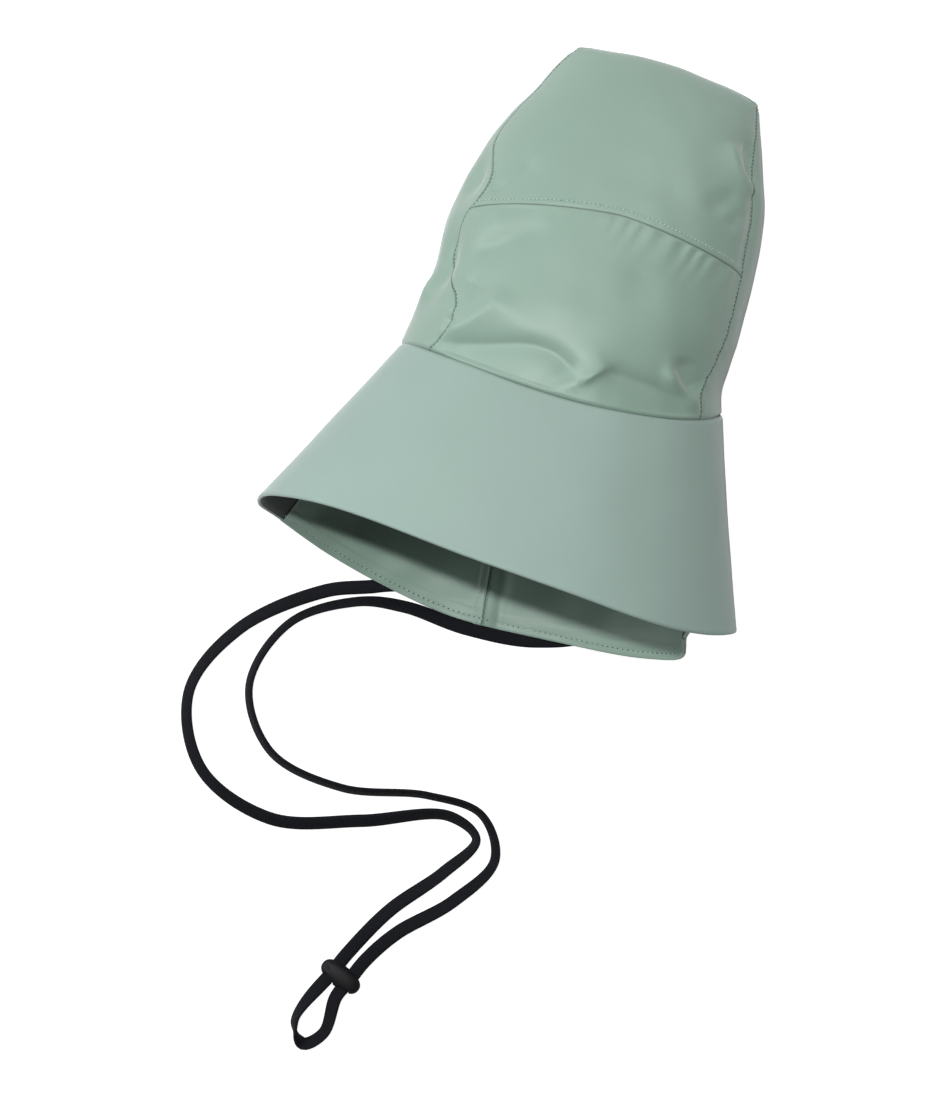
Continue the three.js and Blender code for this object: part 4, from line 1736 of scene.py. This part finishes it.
@dataclass
class CordLock:
    """The rubber lock, a bean with two flat holes."""

    centre: tuple[float, float] = (-26.5 * MM, -362 * MM)
    turn: float = math.radians(-22.8)
    width: float = 26 * MM
    height: float = 9 * MM
    length: float = 13 * MM
    hole_spacing: float = 10.6 * MM
    hole_width: float = 8.7 * MM
    hole_height: float = 3.8 * MM
    fullness: float = 2.4
    end_fullness: float = 2.3
    mouth_rise: float = 3.6 * MM
    mouth_end: float = -0.1
    rib_pitch: float = 2.6 * MM
    rib_rise: float = 0.3 * MM
    rib_fade: tuple[float, float] = (0.24, 0.34)
    bevel: float = 0.35 * MM
    bevel_steps: int = 3
    edge_angle: float = math.radians(40)

    def body(self) -> bpy.types.Object:
        """Makes the plain bean without its holes."""
        around, along = 72, 28
        theta = np.linspace(0, 2 * math.pi, around, endpoint=False)
        phi = np.linspace(-math.pi / 2, math.pi / 2, along + 1)[1:-1]
        power = 2 / self.fullness
        end_power = 2 / self.end_fullness
        rings = []
        for tilt in phi:
            reach = math.cos(tilt) ** power
            x = self.width / 2 * reach * np.sign(np.cos(theta)) * np.abs(np.cos(theta)) ** end_power
            z = self.height / 2 * reach * np.sign(np.sin(theta)) * np.abs(np.sin(theta)) ** end_power
            y = np.full(around, self.length / 2 * math.copysign(abs(math.sin(tilt)) ** power, tilt))
            at_left_end = smoothstep(-x / self.width, *self.rib_fade)
            ribs = np.cos(2 * math.pi * y / self.rib_pitch) * self.rib_rise
            z = z + at_left_end * ribs * z / (self.height / 2)
            rings.append(np.stack([x, y, z], axis=1))
        points = np.vstack([*rings, [[0, -self.length / 2, 0]], [[0, self.length / 2, 0]]])
        mesh = closed_mesh("lock_bean", points, tube_faces(len(phi), around))
        return add_object("lock_bean", mesh)

    def hole(self, side: int) -> bpy.types.Object:
        """Makes the solid that one hole takes out, -1 for the left one and 1 for the right one."""
        steps = 14
        radius = self.hole_height / 2
        straight = self.hole_width / 2 - radius
        angle = np.linspace(-math.pi / 2, math.pi / 2, steps)
        right = np.stack([straight + radius * np.cos(angle), radius * np.sin(angle)], axis=1)
        outline = np.vstack([right, -right])
        middle = side * self.hole_spacing / 2
        flared = 1 + self.mouth_rise / radius
        past = self.length / 2 + MM
        count = len(outline)
        rings = [
            np.stack([outline[:, 0] + middle, np.full(count, y), outline[:, 1] * rise], axis=1)
            for y, rise in ((-past, flared), (self.mouth_end * self.length, 1), (past, 1))
        ]
        faces = [tuple(reversed(range(count))), tuple(range(2 * count, 3 * count))]
        for low in (0, count):
            near = np.arange(count) + low
            far = near + count
            faces += np.stack([near, np.roll(near, -1), np.roll(far, -1), far], axis=1).tolist()
        mesh = bpy.data.meshes.new("lock_hole")
        mesh.from_pydata(np.vstack(rings).tolist(), [], faces)
        recalculate_normals(mesh)
        return add_object("lock_hole", mesh)

    def build(self, origin: Vector, rubber: bpy.types.Material) -> bpy.types.Object:
        """Builds the lock in its place on the cord."""
        bean = self.body()
        cutters = [self.hole(side) for side in (-1, 1)]
        for cutter in cutters:
            cut = bean.modifiers.new("hole", "BOOLEAN")
            cut.operation = "DIFFERENCE"
            cut.solver = "EXACT"
            cut.object = cutter
        soften = bean.modifiers.new("soften", "BEVEL")
        soften.width = self.bevel
        soften.segments = self.bevel_steps
        soften.limit_method = "ANGLE"
        soften.angle_limit = self.edge_angle
        mesh = evaluated_mesh(bean, "lock_body")
        for helper in (bean, *cutters):
            bpy.data.objects.remove(helper)
        points = np.array([vertex.co for vertex in mesh.vertices])
        cosine, sine = math.cos(self.turn), math.sin(self.turn)
        x = points[:, 0] * cosine - points[:, 1] * sine + self.centre[0] + origin.x
        y = points[:, 0] * sine + points[:, 1] * cosine + self.centre[1] + origin.y
        z = points[:, 2] + self.height / 2 + origin.z
        mesh.vertices.foreach_set("co", np.stack([x, y, z], axis=1).astype(np.float32).ravel())
        mesh.shade_smooth()
        mesh.set_sharp_from_angle(angle=self.edge_angle)
        return place_piece(mesh, rubber, ("cord_lock",))


def recalculate_normals(mesh: bpy.types.Mesh) -> None:
    """Turns a closed mesh's faces outwards."""
    shape = bmesh.new()
    shape.from_mesh(mesh)
    bmesh.ops.recalc_face_normals(shape, faces=shape.faces)
    shape.to_mesh(mesh)
    shape.free()


# The studio


@dataclass
class Softbox:
    """A square area light that faces the hat."""

    name: str
    direction: tuple[float, float, float]
    distance: float
    size: float
    power: float
    colour: Colour = (1, 1, 1)

    def build(self, target: Vector) -> None:
        """Hangs the light and turns it to its target."""
        lamp = bpy.data.lights.new(self.name, "AREA")
        lamp.energy = self.power
        lamp.size = self.size
        lamp.color = self.colour
        light = add_object(self.name, lamp)
        light.visible_camera = False
        light.location = target + Vector(self.direction).normalized() * self.distance
        light.rotation_euler = (target - light.location).to_track_quat("-Z", "Y").to_euler()


@dataclass
class Studio:
    """The white table, the lights, and the camera that looks straight down."""

    camera_height: float = 2.5
    view_height: float = 632.9 * MM
    sensor: float = 36.0
    below_camera: tuple[float, float] = (-20.2 * MM, -102.7 * MM)
    camera_turn: float = math.radians(16)
    table_size: float = 8.0
    table_drop: float = 0.2 * MM
    table_grey: float = 0.75
    table_seen_grey: float = 0.3
    table_glow: float = 0.96
    sky: Colour = (0.95, 0.97, 1.0)
    sky_strength: float = 0.1
    lights: tuple[Softbox, ...] = (
        Softbox("overhead light", (-0.13, 0.09, 0.99), distance=2.4, size=0.07, power=31),
        Softbox("left light", (-0.82, 0.1, 0.57), distance=2.2, size=1.1, power=23, colour=(0.95, 0.98, 1)),
        Softbox("far light", (0.1, 0.85, 0.5), distance=2.4, size=1.0, power=11),
    )

    def build(self, origin: Vector) -> None:
        """Builds the studio round the hat."""
        target = Vector((self.below_camera[0], self.below_camera[1], 0)) + origin
        self.table(target)
        self.camera(target)
        for light in self.lights:
            light.build(target)
        world = bpy.data.worlds.new("studio")
        world.use_nodes = True
        background = world.node_tree.nodes["Background"]
        background.inputs["Color"].default_value = (*self.sky, 1)
        background.inputs["Strength"].default_value = self.sky_strength
        bpy.context.scene.world = world
        bpy.context.scene.view_settings.view_transform = "Standard"

    def table(self, target: Vector) -> None:
        """Lays the white table under the hat."""
        half = self.table_size / 2
        square = ((-half, -half), (half, -half), (half, half), (-half, half))
        corners = [(x + target.x, y + target.y, -self.table_drop) for x, y in square]
        mesh = bpy.data.meshes.new("table")
        mesh.from_pydata(corners, [], [(0, 1, 2, 3)])
        table = add_object("table", mesh)
        material, graph, shader = new_material("white table")
        seen = graph.node("ShaderNodeLightPath").outputs["Is Camera Ray"]
        lit, looked_at, glow = (
            (grey, grey, grey, 1) for grey in (self.table_grey, self.table_seen_grey, self.table_glow)
        )
        looks = {
            "Base Color": graph.mix(seen, lit, looked_at),
            "Roughness": 0.9,
            "Emission Color": graph.mix(seen, (0, 0, 0, 1), glow),
            "Emission Strength": 1.0,
        }
        graph.fill(shader, looks)
        mesh.materials.append(material)

    def camera(self, target: Vector) -> None:
        """Hangs the camera straight above the table."""
        data = bpy.data.cameras.new("camera")
        data.sensor_fit = "VERTICAL"
        data.sensor_height = self.sensor
        data.lens = self.sensor * self.camera_height / self.view_height
        data.clip_end = 100
        camera = add_object("camera", data)
        camera.location = (target.x, target.y, self.camera_height)
        camera.rotation_euler = (0, 0, self.camera_turn)
        bpy.context.scene.camera = camera


def plan_origin(lock: CordLock) -> Vector:
    """Finds where the hat's plan has its origin in the frame, from where the frame holds the lock."""
    low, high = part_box("cord_lock")
    middle = (low + high) / 2
    return Vector((middle.x - lock.centre[0], middle.y - lock.centre[1], 0))


def main() -> None:
    """Builds the hat's pieces in order, and the studio."""
    logging.basicConfig(level=logging.INFO, format="%(message)s")
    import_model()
    lock = CordLock()
    origin = plan_origin(lock)
    log.info("plan origin: %s", tuple(round(part, 6) for part in origin))
    Studio().build(origin)

    groups = {"weave": weave_group(), "tone": tone_and_seam_shade_group(), "braid": braid_group()}
    shell = ClothFinish("shell cloth", srgb(143, 168, 154)).material(groups)
    bill = ClothFinish("bill cloth", srgb(150, 172, 163), roughness=0.6, grain=0.1).material(groups)
    # A dark colour for the bill's inner face: painted shade under the bill.
    inner_face_shade = ClothFinish("bill inner face shade", srgb(36, 44, 41), sheen=0.1, grain=0.1).material(groups)
    thread = ThreadFinish("thread", srgb(176, 204, 192)).material()
    dark_thread = ThreadFinish("dark thread", srgb(76, 108, 92)).material()
    # Dark bodies at the needle holes: painted shade.
    hole = ThreadFinish("needle hole painted shade", srgb(52, 84, 70)).material()
    needle = Needle(origin, thread, dark_thread, hole)

    lock_piece = lock.build(origin, RubberFinish().material(groups))
    ChinCord().build(origin, BraidFinish().material(groups), lock_piece)
    form = HatForm()
    Crown(form).build(origin, shell, needle)
    Brim(form).build(origin, bill, inner_face_shade, shell, needle)


if __name__ == "__main__":
    main()
